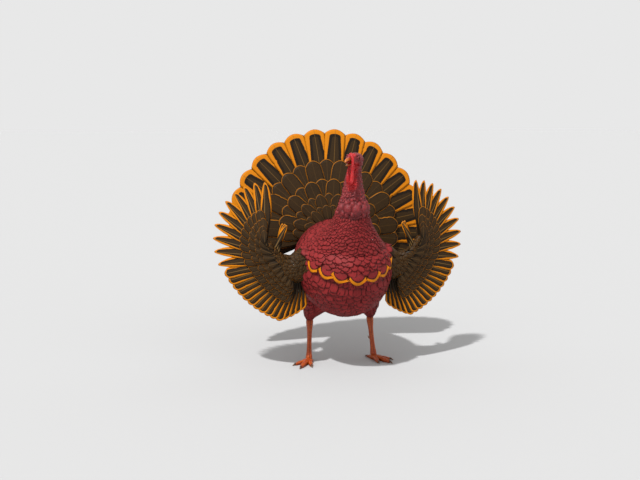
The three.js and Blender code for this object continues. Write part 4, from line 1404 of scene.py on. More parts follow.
    def piece(self) -> Piece:
        """Returns the whole skin with the margins of the eyelids."""
        above = self.above_neck_cut(self.head.points) + 6 * grain(self.head.points, 12, 7)
        wings = smoothstep(188, 206, np.abs(self.body.points[:, 0]) / MM)
        body = with_skin_maps(self.body, bare=0, painted_shade=0, red=0, brown=wings)
        eyes = [eye_middle(side) for side in SIDES.values()]
        from_eye = smoothstep(13, 22, min_distance(self.head.points, eyes) / MM)
        # painted shade in the creases of the bare head, kept weaker near the eyes
        painted_shade = hollows(self.head, 8, 0.8) * lerp(0.3, 0.9, from_eye)
        head = with_skin_maps(self.head, smoothstep(-12, 2, above), painted_shade, self.blush())
        # the lid margins get an even share of painted shade
        lids = [with_skin_maps(form, bare=1, painted_shade=0.45, red=0.1) for form in EyeLids().forms()]
        names = ["torso", "neck", "head", "thigh_left", "thigh_right"]
        return Piece("skin", joined([body, head, *lids]), SKIN, "bare_skin", tuple(names))

    def blush(self) -> Array:
        """Returns how red the bare skin is: most at the throat and the snood, and a little on the beads."""
        points = self.head.points
        snood = np.linalg.norm(points - head_point(28, 0, 16), axis=1) / MM
        throat = min_distance(points, head_line((16, -1, -22), (20, -1, -45), (22, -1, -70), (20, -1, -95)))
        around_snood = 1 - smoothstep(8, 20, snood)
        around_throat = 1 - smoothstep(14, 34, throat / MM)
        beads = smoothstep(0.15, 0.6, hollows(self.head, 14, -1.6))
        low = smoothstep(120, 10, self.above_neck_cut(points))
        return np.clip(around_snood + around_throat + (0.12 + 0.3 * low) * beads, 0, 1)


def with_skin_maps(form: Form, bare: Array | float, painted_shade: Array | float, red: Array | float,
                   brown: Array | float = 0.0) -> Form:
    """Returns a form with the two maps that the skin's finish reads.

    Args:
        form: The form.
        bare: How bare the skin is.
        painted_shade: How much painted shade darkens it.
        red: How red.
        brown: How brown, where feathers cover it.

    Returns:
        The form, with each point's four values.
    """
    count = len(form.points)
    columns = [each(value, count) for value in (bare, painted_shade, red, brown)]
    maps = {"zone": np.stack(columns[:2], axis=1), "tone": np.stack(columns[2:], axis=1)}
    return Form(form.points, form.faces, maps)


def hollows(form: Form, rounds: int, depth: float) -> Array:
    """Returns how far each point is sunk in a hollow, or for a depth below zero how far it stands out.

    Args:
        form: The folded form.
        rounds: How often it is smoothed, to find its folds.
        depth: The depth that counts as 1, in millimetres.

    Returns:
        A share from 0 to 1 for each point.
    """
    sunk = dot(smoothed(form, rounds).points - form.points, point_normals(form))[:, 0] / MM
    return np.clip(sunk / depth, 0, 1)


@dataclass
class EyeLids:
    """The wet margins of the lids, as a soft ring that follows the almond opening of each eye."""

    thick: float = 0.75

    @staticmethod
    def opening(angle: Array) -> Array:
        """Returns the radius of the opening, in millimetres, at angles from straight ahead."""
        return 1 / np.sqrt((np.cos(angle) / 6.0) ** 2 + (np.sin(angle) / 5.0) ** 2)

    def forms(self) -> list[Form]:
        """Returns the ring of each eye."""
        around, section = 56, 10
        turn = 2 * math.pi * np.arange(around) / around
        ring = 2 * math.pi * np.arange(section) / section
        a, b = np.meshgrid(turn, ring, indexing="ij")
        swell = self.thick * (1 + 0.18 * np.sin(7 * a) + 0.35 * (np.sin(a) > 0))
        radius = self.opening(a) + swell * np.cos(b)
        out = np.sqrt((EYE_RADIUS + 0.5) ** 2 - self.opening(a) ** 2) + 0.15 + swell * np.sin(b)
        faces = grid_faces(around, section, closed=True)
        first = np.arange(section)
        last = first + (around - 1) * section
        closing = np.stack([last, np.roll(last, -1), np.roll(first, -1), first], axis=1)
        made = []
        for side in SIDES.values():
            offset = (
                (radius * np.cos(a))[..., None] * -HEAD_BACK
                + (radius * np.sin(a))[..., None] * HEAD_UP
                + (out * side)[..., None] * HEAD_LEFT
            )
            made.append(outward(Form((eye_middle(side) + offset * MM).reshape(-1, 3), [faces, closing])))
        return made


# --- The coat ---

def unwrapped(points: Array, axis: int) -> Array:
    """Returns each point's place on the bake map, unrolled from a cylinder about the tract's long axis.

    Args:
        points: Where they lie.
        axis: The number of that axis.

    Returns:
        Two values for each point.
    """
    centre = (points.min(axis=0) + points.max(axis=0)) / 2
    first, second = (k for k in range(3) if k != axis)
    away = points - centre
    u = np.arctan2(away[:, first], away[:, second]) / (2 * math.pi) + 0.5
    along = points[:, axis]
    v = (along - along.min()) / max(float(np.ptp(along)), 1e-6)
    return 0.02 + 0.96 * np.stack([u, v], axis=1)


def from_spine(points: Array, limb: Limb) -> Array:
    """Returns how many millimetres outside a limb's own mean radius each point lies.

    Args:
        points: Where they lie.
        limb: The limb.

    Returns:
        One distance for each point.
    """
    shares = np.linspace(0, 1, 14)
    middle = Spine(limb.spine).at(shares)
    radius = profile(limb.rows, shares).mean(axis=1)
    away = np.linalg.norm(points[:, None] - middle[None], axis=2) / MM
    return (away - radius[None]).min(axis=1)


@dataclass(frozen=True)
class Tract:
    """One field of contour feathers, with its sizes in millimetres."""

    name: str
    finish: FeatherFinish
    slot: str
    spacing: float
    length: float
    width: float
    rise: float
    unwrap_axis: int
    cut: Cut = Cut.CONTOUR
    camber: float = 0.8
    messy: float = 0.12  # radians by which they stray from the lie
    gold: float = 0.75
    fray: float = 0.07


class Region(Enum):
    """The parts of the skin that carry their own kind of feather."""

    NECK = 0
    BREAST = 1
    BACK = 2
    FLANK = 3
    THIGH = 4
    ARM_RIGHT = 5
    ARM_LEFT = 6
    VENT = 7
    BARE = 8


TRACTS = {  # spacing, length, width and rise, then the axis that the bake map is unrolled from
    Region.NECK: Tract("neck_feathers", BODY_FEATHER, "body_plumage", 9.5, 38, 24, 8.5, 2),
    Region.BREAST: Tract("breast_feathers", BODY_FEATHER, "body_plumage", 12, 50, 34, 9.5, 1),
    Region.BACK: Tract("back_feathers", BODY_FEATHER, "body_plumage", 13, 56, 38, 10, 1),
    Region.FLANK: Tract("flank_and_belly_feathers", BODY_FEATHER, "body_plumage", 13, 56, 36, 9.5, 1),
    Region.THIGH: Tract("thigh_feathers", BODY_FEATHER, "body_plumage", 9, 36, 22, 7, 2),
    Region.ARM_RIGHT: Tract("wing_right_lesser_coverts", COVERT_FEATHER, "flight_plumage", 8.5, 34, 21, 6, 0,
                            gold=0.4),
    Region.ARM_LEFT: Tract("wing_left_lesser_coverts", COVERT_FEATHER, "flight_plumage", 8.5, 34, 21, 6, 0,
                           gold=0.4),
    Region.VENT: Tract("vent_down", DOWN_FEATHER, "body_plumage", 8.5, 58, 21, 15, 1, Cut.SLIM, 1.5, 0.3,
                       fray=0.2),
}


@dataclass
class Coat:
    """The small feathers that grow from the skin, row over row along the lie of the plumage."""

    skin: Skin
    stations: int = 7
    overlap: float = 0.09  # how steeply each feather leans over its neighbour
    breast_end: float = -90  # how far back
    vent_start: float = 205
    neck_start: float = 500  # how far up
    bare_start: float = 560
    thigh_top: float = 268
    seed: int = 11

    def __post_init__(self) -> None:
        """Readies the frames of the wings and the random draw."""
        self.draw = np.random.default_rng(self.seed)
        self.wings = {side: WingFrame(side) for side in SIDES.values()}
        self.band = BreastBand()

    def regions(self, points: Array, normals: Array) -> Array:
        """Returns the number of the region that each point of the skin belongs to.

        Args:
            points: Points of the skin.
            normals: The skin's normals there.

        Returns:
            One number for each point.
        """
        x, y, z = measured(points)
        above = self.skin.above_neck_cut(points)
        near_neck = (z > self.neck_start) & (y < -60)
        region = np.full(len(points), Region.FLANK.value)
        region[(y < self.breast_end) & (z < 540)] = Region.BREAST.value
        region[(normals[:, 2] > 0.45) & (y > self.breast_end)] = Region.BACK.value
        region[near_neck] = Region.NECK.value
        region[(y > self.vent_start) & (normals[:, 1] > 0.1)] = Region.VENT.value
        for side, name in ((-1, Region.ARM_RIGHT), (1, Region.ARM_LEFT)):
            wing = self.wings[side]
            arm = np.minimum(from_spine(points, wing.arm_limb()), from_spine(points, wing.hand_limb()))
            flesh = lerp(4, 14, smoothstep(160, 190, side * x))
            region[((arm < flesh) & (side * x > 150)) | (side * x > 196)] = name.value
            thigh = from_spine(points, thigh_limb(side))
            region[(thigh < 8) & (z < self.thigh_top) & (side * x > 0)] = Region.THIGH.value
        ragged = 5 * np.sin(x / 9 + 1.3 * np.sin(y / 11)) * np.sin(y / 7)
        region[(above + ragged > 2) & (z > self.bare_start)] = Region.BARE.value
        return region

    def fineness(self, points: Array) -> Array:
        """Returns how much smaller than their tract's size the feathers at each point are.

        Args:
            points: Points of the skin.

        Returns:
            One share for each point.
        """
        x, _, z = measured(points)
        neck = lerp(1, 0.5, smoothstep(520, 640, z))
        shank = lerp(1, 0.55, smoothstep(250, 175, z))
        hand = lerp(1, 0.75, smoothstep(230, 330, np.abs(x)))
        return neck * shank * hand

    def lie(self, points: Array, normals: Array, region: Array) -> Array:
        """Returns the way the feathers lie at each point, along the skin.

        Args:
            points: Points of the skin.
            normals: The skin's normals there.
            region: The numbers of their regions.

        Returns:
            One direction for each point.
        """
        x, y, z = measured(points)
        down = lerp(-1.0, 0.25, smoothstep(-200, 250, y))
        way = np.stack([0 * x, lerp(0.45, 1, smoothstep(-220, 40, y)), down], axis=1)
        spread = np.stack([0.25 * np.sign(x) * smoothstep(0, 40, np.abs(x)), 0 * x, 0 * x], axis=1)
        way = way + spread * (region == Region.BREAST.value)[:, None]
        back = lerp(0.1, 0.5, smoothstep(-240, -60, y))
        neck_way = np.stack([0.1 * np.sign(x), back, -np.ones_like(x)], axis=1)
        way = lerp(way, neck_way, smoothstep(470, 560, z)[:, None] * (y < -40)[:, None])
        way = np.where((region == Region.THIGH.value)[:, None], vec(0, 0.25, -1), way)
        vent = smoothstep(170, 240, y)[:, None] * smoothstep(0.0, 0.4, normals[:, 1:2])
        way = lerp(way, np.stack([0.6 * x / 100, 0.3 + 0 * x, 1 + 0 * x], axis=1), vent)
        for side, name in ((-1, Region.ARM_RIGHT), (1, Region.ARM_LEFT)):
            wing = self.wings[side]
            out, up, _ = wing.read(points).T
            inner = lerp(-72, -10, smoothstep(-90, 0, up + 0.35 * out))
            outer = lerp(-6, 84, smoothstep(0, 78, up))
            angle = np.where(up < 0, inner, outer)
            way = np.where((region == name.value)[:, None], wing.way(angle), way)
        return unit(way - dot(way, normals) * normals)

    def roots(self) -> tuple[Array, Array, Array]:
        """Returns the roots of all the feathers, evenly strewn, with the skin's normals and regions there."""
        form = self.skin.body
        fans = [[face[:, [0, k, k + 1]] for k in range(1, face.shape[1] - 1)] for face in form.faces]
        triangles = np.vstack(sum(fans, []))
        normals = point_normals(form)
        a, b, c = (form.points[triangles[:, k]] for k in range(3))
        area = np.linalg.norm(np.cross(b - a, c - a), axis=1)
        tries = 90000
        pick = self.draw.choice(len(triangles), size=tries, p=area / area.sum())
        u, v = self.draw.random(tries), self.draw.random(tries)
        u, v = np.where(u + v > 1, 1 - u, u)[:, None], np.where(u + v > 1, 1 - v, v)[:, None]
        points = a[pick] + u * (b - a)[pick] + v * (c - a)[pick]
        na, nb, nc = (normals[triangles[pick, k]] for k in range(3))
        looks = unit(na + u * (nb - na) + v * (nc - na))
        region = self.regions(points, looks)
        keep = region != Region.BARE.value
        points, looks, region = points[keep], looks[keep], region[keep]
        spacing = np.array([TRACTS[Region(r)].spacing for r in range(len(TRACTS))])[region]
        chosen = self.strewn(points, spacing * self.fineness(points) * MM)
        return points[chosen], looks[chosen], region[chosen]

    def strewn(self, points: Array, spacing: Array) -> Array:
        """Returns the numbers of points that are chosen so that no two lie closer than their spacing.

        Args:
            points: The points, in the order of choice.
            spacing: The spacing of each, in metres.

        Returns:
            The numbers of the chosen ones.
        """
        tree = kdtree.KDTree(len(points))
        for number, point in enumerate(points):
            tree.insert(point, number)
        tree.balance()
        free = np.ones(len(points), dtype=bool)
        chosen = []
        for number, point in enumerate(points):
            if free[number]:
                chosen.append(number)
                for _, other, _ in tree.find_range(point, float(spacing[number])):
                    free[other] = False
        return np.array(chosen)

    def marched(self, roots: Array, looks: Array, region: Array, length: Array, messy: float,
                stations: int) -> tuple[Array, Array]:
        """Returns lines that creep over the skin from each root along the lie of the feathers.

        Args:
            roots: Where they start.
            looks: The skin's normals there.
            region: The number of each root's region.
            length: Their lengths in metres.
            messy: How far they stray from the lie, in radians.
            stations: How many points along each.

        Returns:
            The points of each line, and the skin's normals under them.
        """
        point, look = roots.copy(), looks.copy()
        heading = self.lie(point, look, region)
        sway = self.draw.normal(0, messy, size=(len(roots), 1))
        heading = unit(heading + sway * np.cross(look, heading))
        line, normals = [point], [look]
        for step in np.diff(station_shares(stations)):
            ahead = point + heading * (step * length)[:, None]
            found = [self.skin.tree.find_nearest(Vector(p)) for p in ahead]
            point = np.array([hit[0][:] for hit in found])
            fresh = np.array([hit[1][:] for hit in found])
            look = unit(look + 1.2 * fresh)
            drift = self.lie(point, look, region)
            heading = unit(0.8 * heading + 0.2 * drift)
            heading = unit(heading - dot(heading, look) * look)
            line.append(point)
            normals.append(look)
        return np.stack(line, axis=1), np.stack(normals, axis=1)

    def tilts(self, line: Array, normals: Array) -> Array:
        """Returns the tilt that lays each feather over its neighbour on the side away from the middle.

        Args:
            line: The points along each feather.
            normals: The skin's normals under them.

        Returns:
            One tilt for each feather.
        """
        side = unit(np.cross(line[:, 1] - line[:, 0], normals[:, 0]))
        outward_side = side[:, 0] * np.clip((line[:, 0, 0] - ORIGIN[0]) / (30 * MM), -1, 1)
        return -self.overlap * np.clip(2 * outward_side, -1, 1)

    def pieces(self) -> list[Piece]:
        """Returns one piece for each tract."""
        roots, looks, region = self.roots()
        made = []
        for number, tract in ((r.value, t) for r, t in TRACTS.items()):
            mine = region == number
            base, look = roots[mine], looks[mine]
            size = self.fineness(base) * self.draw.uniform(0.88, 1.12, size=len(base))
            length, width = tract.length * size * MM, tract.width * size * MM
            line, normals = self.marched(base, look, region[mine], length, tract.messy, self.stations)
            share = station_shares(self.stations)
            lift = (0.6 + tract.rise * size[:, None] * (1 - (1 - share[None]) ** 1.4)) * MM
            flat = np.where(self.band.covers(base), 0.42, 1.0)[:, None]
            lift = lift * flat * self.draw.uniform(0.96, 1.04, size=(len(base), 1))
            feathers = Feathers(
                line + normals * lift[..., None], normals, length, width, tract.cut, columns=9,
                gold=tract.gold, camber=tract.camber, ridge=0.35, round_tip=0.36, fray=tract.fray,
                seed=self.seed + number, tilt=self.tilts(line, normals),
                patches=unwrapped(base, tract.unwrap_axis),
            )
            made.append(Piece(tract.name, feathers.form(), tract.finish, tract.slot))
        return made


@dataclass
class BreastBand:
    """A row of broad gilt-edged feathers that scallops across the breast, drooping in the middle."""

    height: float = 372
    droop: float = 44
    reach: float = 150
    body_radius: float = 190
    count: int = 7
    length: float = 66
    width: float = 76
    seen: float = 23  # how much of their tips shows under the feathers above

    def line_height(self, x: Array) -> Array:
        """Returns the height of the tips of the row at a distance from the middle plane."""
        return self.height + self.droop * (x / self.reach) ** 2

    def covers(self, points: Array) -> Array:
        """Returns whether the row lies over each point, so that the other feathers there stay flat.

        Args:
            points: Points of the skin.

        Returns:
            True or false for each point.
        """
        x, y, z = measured(points)
        above = z - self.line_height(x)
        return (np.abs(x) < self.reach + 14) & (y < -90) & (above > 4) & (above < self.seen + 50)

    def piece(self, coat: Coat) -> Piece:
        """Returns the row, laid over the coat.

        Args:
            coat: The coat, whose skin and lie of feathers it follows.

        Returns:
            The piece.
        """
        turn = np.linspace(-1, 1, self.count) * math.asin((self.reach - 0.3 * self.width) / self.body_radius)
        hits = []
        # Each root is found by looking back at the skin from well before the breast.
        for across in self.body_radius * np.sin(turn):
            start = place(across, -600, self.line_height(across) + 0.92 * self.length)
            hits.append(coat.skin.tree.ray_cast(Vector(start), Vector((0, 1, 0))))
        roots, looks = (np.array([hit[k][:] for hit in hits]) for k in (0, 1))
        length = np.full(self.count, self.length * MM)
        region = np.full(self.count, Region.BREAST.value)
        stations = 14
        line, normals = coat.marched(roots, looks, region, length, 0.0, stations)
        share = station_shares(stations)
        stagger = (np.arange(self.count) % 2)[:, None] * 1.0
        lift = (1.5 + stagger + 12 * (1 - (1 - share[None]) ** 1.8) - 3.5 * share[None] ** 6) * MM
        width = np.full(self.count, self.width * MM)
        feathers = Feathers(line + normals * lift[..., None], normals, length, width, Cut.SECONDARY,
                            columns=13, gold=1.0, camber=3, seed=5, round_tip=0.42)
        return Piece("breast_band_feathers", feathers.form(), BREAST_BAND_FEATHER, "body_plumage")


# --- Tail and wings ---

CURL = 0.22  # radians that a big vane turns in each metre
LAYER = 2  # millimetres from one overlapping feather to the next


def splayed(root: Array, along: Array, front: Array, length: Array, width: float, face: int = 1,
            stations: int = 14, **shape: object) -> Form:
    """Returns big feathers that splay in one plane, each bent a little away from the way it faces.

    Args:
        root: Where each one starts.
        along: The way each one points.
        front: The way the front of the plane looks.
        length: Their lengths in millimetres.
        width: Their width in millimetres.
        face: 1 where they show their ridges to the front, -1 to the back.
        stations: How many points along each.
        **shape: More of what Feathers takes.

    Returns:
        The feathers.
    """
    count, long = len(root), length * MM
    centres, fronts = curled(root, along, np.tile(face * front, (count, 1)), long, CURL * face, stations)
    return Feathers(centres, fronts, long, np.full(count, width * MM), **shape).form()


@dataclass(frozen=True)
class Tier:
    """One row of coverts, of which every second one lies a step further out. Sizes are in millimetres."""

    length: float  # for a wing, as a share of its flight feathers
    width: float
    lift: float
    step: float
    gold: float
    camber: float
    stations: int
    columns: int
    notches: int = 0
    round_tip: float = 0.5
    fray: float = 0
    shift: float = 0  # how far between two flight feathers each one grows

    def shape(self) -> dict[str, object]:
        """Returns what splayed takes for this row, besides places, lengths and face."""
        names = ("width", "gold", "camber", "stations", "columns", "notches", "round_tip", "fray")
        return {"cut": Cut.COVERT, **{name: getattr(self, name) for name in names}}

    def lifts(self, numbers: Array) -> Array:
        """Returns how far forward each feather of the row lies."""
        return self.lift + self.step * (numbers % 2)


TAIL_FRONT = (  # how many feathers, and the degrees that they span
    (17, 192, Tier(300, 78, 2, 1.1, 0.85, 0.8, 20, 11, 2, 0.3)),
    (14, 178, Tier(214, 70, 5, 1.3, 0.8, 1, 20, 11, 1, 0.3)),
    (13, 176, Tier(150, 56, 9, 1.5, 0.6, 1.2, 14, 9)),
    (12, 180, Tier(100, 46, 14, 2, 0.4, 1.6, 12, 9, fray=0.03)),
)
TAIL_BACK = (
    (13, 190, Tier(230, 78, -21.5, -1.1, 0.7, 1, 20, 7, 1)),
    (12, 184, Tier(160, 66, -25, -1.4, 0.4, 1.4, 14, 7)),
    (11, 190, Tier(108, 56, -30, -2, 0, 2, 10, 5)),
)
WING_FRONT = (
    Tier(0.56, 40, 4, 1.1, 0.9, 1, 14, 9, 1, 0.35),
    Tier(0.42, 36, 8, 1.4, 0.7, 1.2, 14, 9, fray=0.03, shift=0.5),
    Tier(0.31, 32, 13, 1.8, 0.5, 1.4, 12, 9, fray=0.04),
    Tier(0.22, 28, 18, 2, 0.3, 1.6, 10, 9, fray=0.05, shift=0.5),
)
WING_BACK = (
    Tier(0.54, 42, -4, -1.1, 0.9, 1, 14, 7, 1, 0.35),
    Tier(0.38, 36, -8, -1.6, 0.7, 1.4, 10, 5, shift=0.5),
    Tier(0.26, 30, -14, -2, 0.5, 1.6, 8, 5),
)


def relaid(forms: list[Form]) -> Form:
    """Returns several forms as one, with each one's islands in its own strip of the bake map.

    Args:
        forms: The forms, each with a bake map of its own.

    Returns:
        One form.
    """
    for number, form in enumerate(forms):
        form.maps[BAKE_MAP] = form.maps[BAKE_MAP] * [1, 1 / len(forms)] + [0, number / len(forms)]
    return joined(forms)


@dataclass
class Tail:
    """The fanned tail: eighteen broad feathers, with tiers of coverts before and behind."""

    lean: float = 12  # degrees, as is the spread
    spread: float = 206
    count: int = 18
    length: float = 436
    width: float = 94

    def __post_init__(self) -> None:
        """Works out the plane of the fan."""
        lean = math.radians(self.lean)
        self.up = vec(0, math.sin(lean), math.cos(lean))
        self.front = vec(0, -math.cos(lean), math.sin(lean))
        self.root = place(0, 216, 506)

    def fan(self, spread: float, length: float, lift: Array, start: float = 25, **shape: object) -> Form:
        """Returns one fan of feathers in the plane of the tail.

        Args:
            spread: Degrees from the first to the last.
            length: The middle feather's length in millimetres.
            lift: How far forward each one lies, in millimetres.
            start: How far from the middle of the fan they begin.
            **shape: More of what splayed takes.

        Returns:
            The fan.
        """
        at = np.arange(len(lift)) / (len(lift) - 1) - 0.5
        angle = np.radians(spread) * at
        out = np.sin(angle)[:, None] * vec(1, 0, 0) + np.cos(angle)[:, None] * self.up
        root = self.root + (out * start + lift[:, None] * self.front) * MM
        return splayed(root, out, self.front, length * (1 - 0.06 * (2 * at) ** 2), **shape)

    def coverts(self, rows: tuple[tuple[int, float, Tier], ...], face: int, seed: int) -> Form:
        """Returns the tiers of one face.

        Args:
            rows: The tiers, from the outermost in.
            face: 1 for the front, -1 for the back.
            seed: The first tier's seed, from which the others count on.

        Returns:
            One form.
        """
        return relaid([
            self.fan(spread, row.length, row.lifts(np.arange(count)), face=face, seed=seed + k, **row.shape())
            for k, (count, spread, row) in enumerate(rows)
        ])

    def pieces(self) -> list[Piece]:
        """Returns the big feathers and the coverts."""
        k = np.arange(self.count)
        half = self.count // 2
        rank = np.where(k < half, half - k, k - half)
        big = self.fan(self.spread, self.length, -LAYER * rank, width=self.width, cut=Cut.TAIL, stations=44,
                       columns=11, gold=1.0, ridge=1.1, camber=0.8, notches=2, round_tip=0.22, seed=3)
        front, back = self.coverts(TAIL_FRONT, 1, 4), self.coverts(TAIL_BACK, -1, 8)
        return [
            Piece("tail_feathers", big, TAIL_FEATHER, "flight_plumage", ("tail",)),
            Piece("tail_coverts_front", front, COVERT_FEATHER, "flight_plumage"),
            Piece("tail_coverts_back", back, COVERT_FEATHER, "flight_plumage"),
        ]


@dataclass
class Wing:
    """One raised wing with its flight feathers spread, and coverts on both faces.

    Places and lengths are in millimetres, and a fan is the angles of its first and last feather in degrees.
    """

    side: int
    word: str
    primaries: int = 10
    secondaries: int = 11
    elbow: tuple[float, float] = (-52, -76)
    hand_tip: tuple[float, float] = (58, 60)
    arm_fan: tuple[float, float] = (-66, -10)
    hand_fan: tuple[float, float] = (-3, 92)
    arm_lengths: tuple[float, float] = (172, 224)
    hand_length: float = 228
    hand_arch: float = 36  # how much longer the longest feather of the hand is

    def __post_init__(self) -> None:
        """Works out the plane of the wing."""
        self.frame = WingFrame(self.side)

    def places(self, k: Array) -> tuple[Array, ...]:
        """Returns where flight feathers grow and point.

        Args:
            k: Their numbers from the elbow out, also between whole numbers.

        Returns:
            Their angle in degrees, their root's place out, up and forward, and their length, in millimetres.
        """
        inner = np.clip(k / (self.secondaries - 1), 0, 1)
        outer = np.clip((k - self.secondaries) / (self.primaries - 1), 0, 1)
        on_arm = k < self.secondaries - 0.5
        angle = np.where(on_arm, lerp(*self.arm_fan, inner), lerp(*self.hand_fan, outer))
        out = np.where(on_arm, lerp(self.elbow[0], -4, inner), lerp(4, self.hand_tip[0], outer))
        up = np.where(on_arm, lerp(self.elbow[1], -6, inner), lerp(4, self.hand_tip[1], outer))
        on_hand = self.hand_length + self.hand_arch * np.sin(math.pi * lerp(0.08, 0.86, outer))
        length = np.where(on_arm, lerp(*self.arm_lengths, inner), on_hand)
        return angle, out, up, LAYER * (k - self.secondaries), length

    def feathers(self, k: Array, length: float = 1, lift: Array | float = 0, **shape: object) -> Form:
        """Returns feathers that grow where flight feathers k do.

        Args:
            k: Their numbers.
            length: Their length as a share of the flight feather's.
            lift: How far forward of the flight feathers they lie.
            **shape: More of what splayed takes.

        Returns:
            The feathers.
        """
        angle, out, up, forward, full = self.places(k)
        along = self.frame.way(angle)
        root = self.frame.point(out[:, None], up[:, None], (forward + lift)[:, None]) + 8 * along * MM
        return splayed(root, along, self.frame.face, full * length, **shape)

    def coverts(self, rows: tuple[Tier, ...], face: int, seed: int) -> Form:
        """Returns the tiers of one face.

        Args:
            rows: The tiers, from the outermost in.
            face: 1 for the front, -1 for the back.
            seed: The first tier's seed, from which the others count on.

        Returns:
            One form.
        """
        every = np.arange(self.secondaries + self.primaries - 1).astype(float)
        return relaid([
            self.feathers(every + row.shift, row.length, row.lifts(every), face=face, seed=seed + k,
                          **row.shape())
            for k, row in enumerate(rows)
        ])

    def thumb(self) -> Form:
        """Returns the three stiff feathers of the thumb."""
        n, wing = np.arange(3), self.frame
        root = wing.point(*(stop[:, None] for stop in (6 + 7 * n, 24 + 10 * n, 14 + 3 * n)))
        return splayed(root, wing.way(100 + 10 * n), wing.face, 122 - 8 * n, 28, stations=16,
                       cut=Cut.PRIMARY, columns=7, gold=1.0, ridge=0.9, notches=1, seed=31)

    def tertials(self) -> Form:
        """Returns the feathers that close the wing towards the body."""
        n, wing = np.arange(4), self.frame
        out, up = self.elbow[0] - 5 - 6 * n, self.elbow[1] + 2 + 3 * n
        root = wing.point(out[:, None], up[:, None], -(LAYER * (self.secondaries + 1 + n))[:, None])
        return splayed(root, wing.way(self.arm_fan[0] - 5 - 6 * n), wing.face, self.arm_lengths[0] - 11 * n,
                       50, stations=20, cut=Cut.SECONDARY, columns=7, gold=1.0, notches=2, seed=32)

    def pieces(self) -> list[Piece]:
        """Returns the hand's and the arm's flight feathers and the coverts of both faces."""
        seed = 50 + self.side * 10
        hand = np.arange(self.secondaries, self.secondaries + self.primaries).astype(float)
        arm = np.arange(self.secondaries).astype(float)
        lead = 0.36 if self.side > 0 else 0.64
        big_hand = self.feathers(hand, width=52, stations=36, cut=Cut.PRIMARY, columns=9, lead=lead, gold=1.0,
                                 ridge=1.1, camber=0.6, notches=2, round_tip=0.5, seed=seed)
        big_arm = self.feathers(arm, width=46, stations=32, cut=Cut.SECONDARY, columns=9, gold=1.0, ridge=1.0,
                                camber=0.6, notches=2, round_tip=0.35, seed=seed + 1)
        front, back = self.coverts(WING_FRONT, 1, seed + 2), self.coverts(WING_BACK, -1, seed + 6)
        wing = f"wing_{self.word}_"
        return [
            Piece(wing + "primaries", relaid([big_hand, self.thumb()]), FLIGHT_FEATHER, "flight_plumage",
                  (wing + "hand",)),
            Piece(wing + "secondaries", relaid([big_arm, self.tertials()]), FLIGHT_FEATHER, "flight_plumage",
                  (wing + "arm",)),
            Piece(wing + "coverts_front", front, COVERT_FEATHER, "flight_plumage"),
            Piece(wing + "coverts_back", back, COVERT_FEATHER, "flight_plumage"),
        ]


# --- Head ---

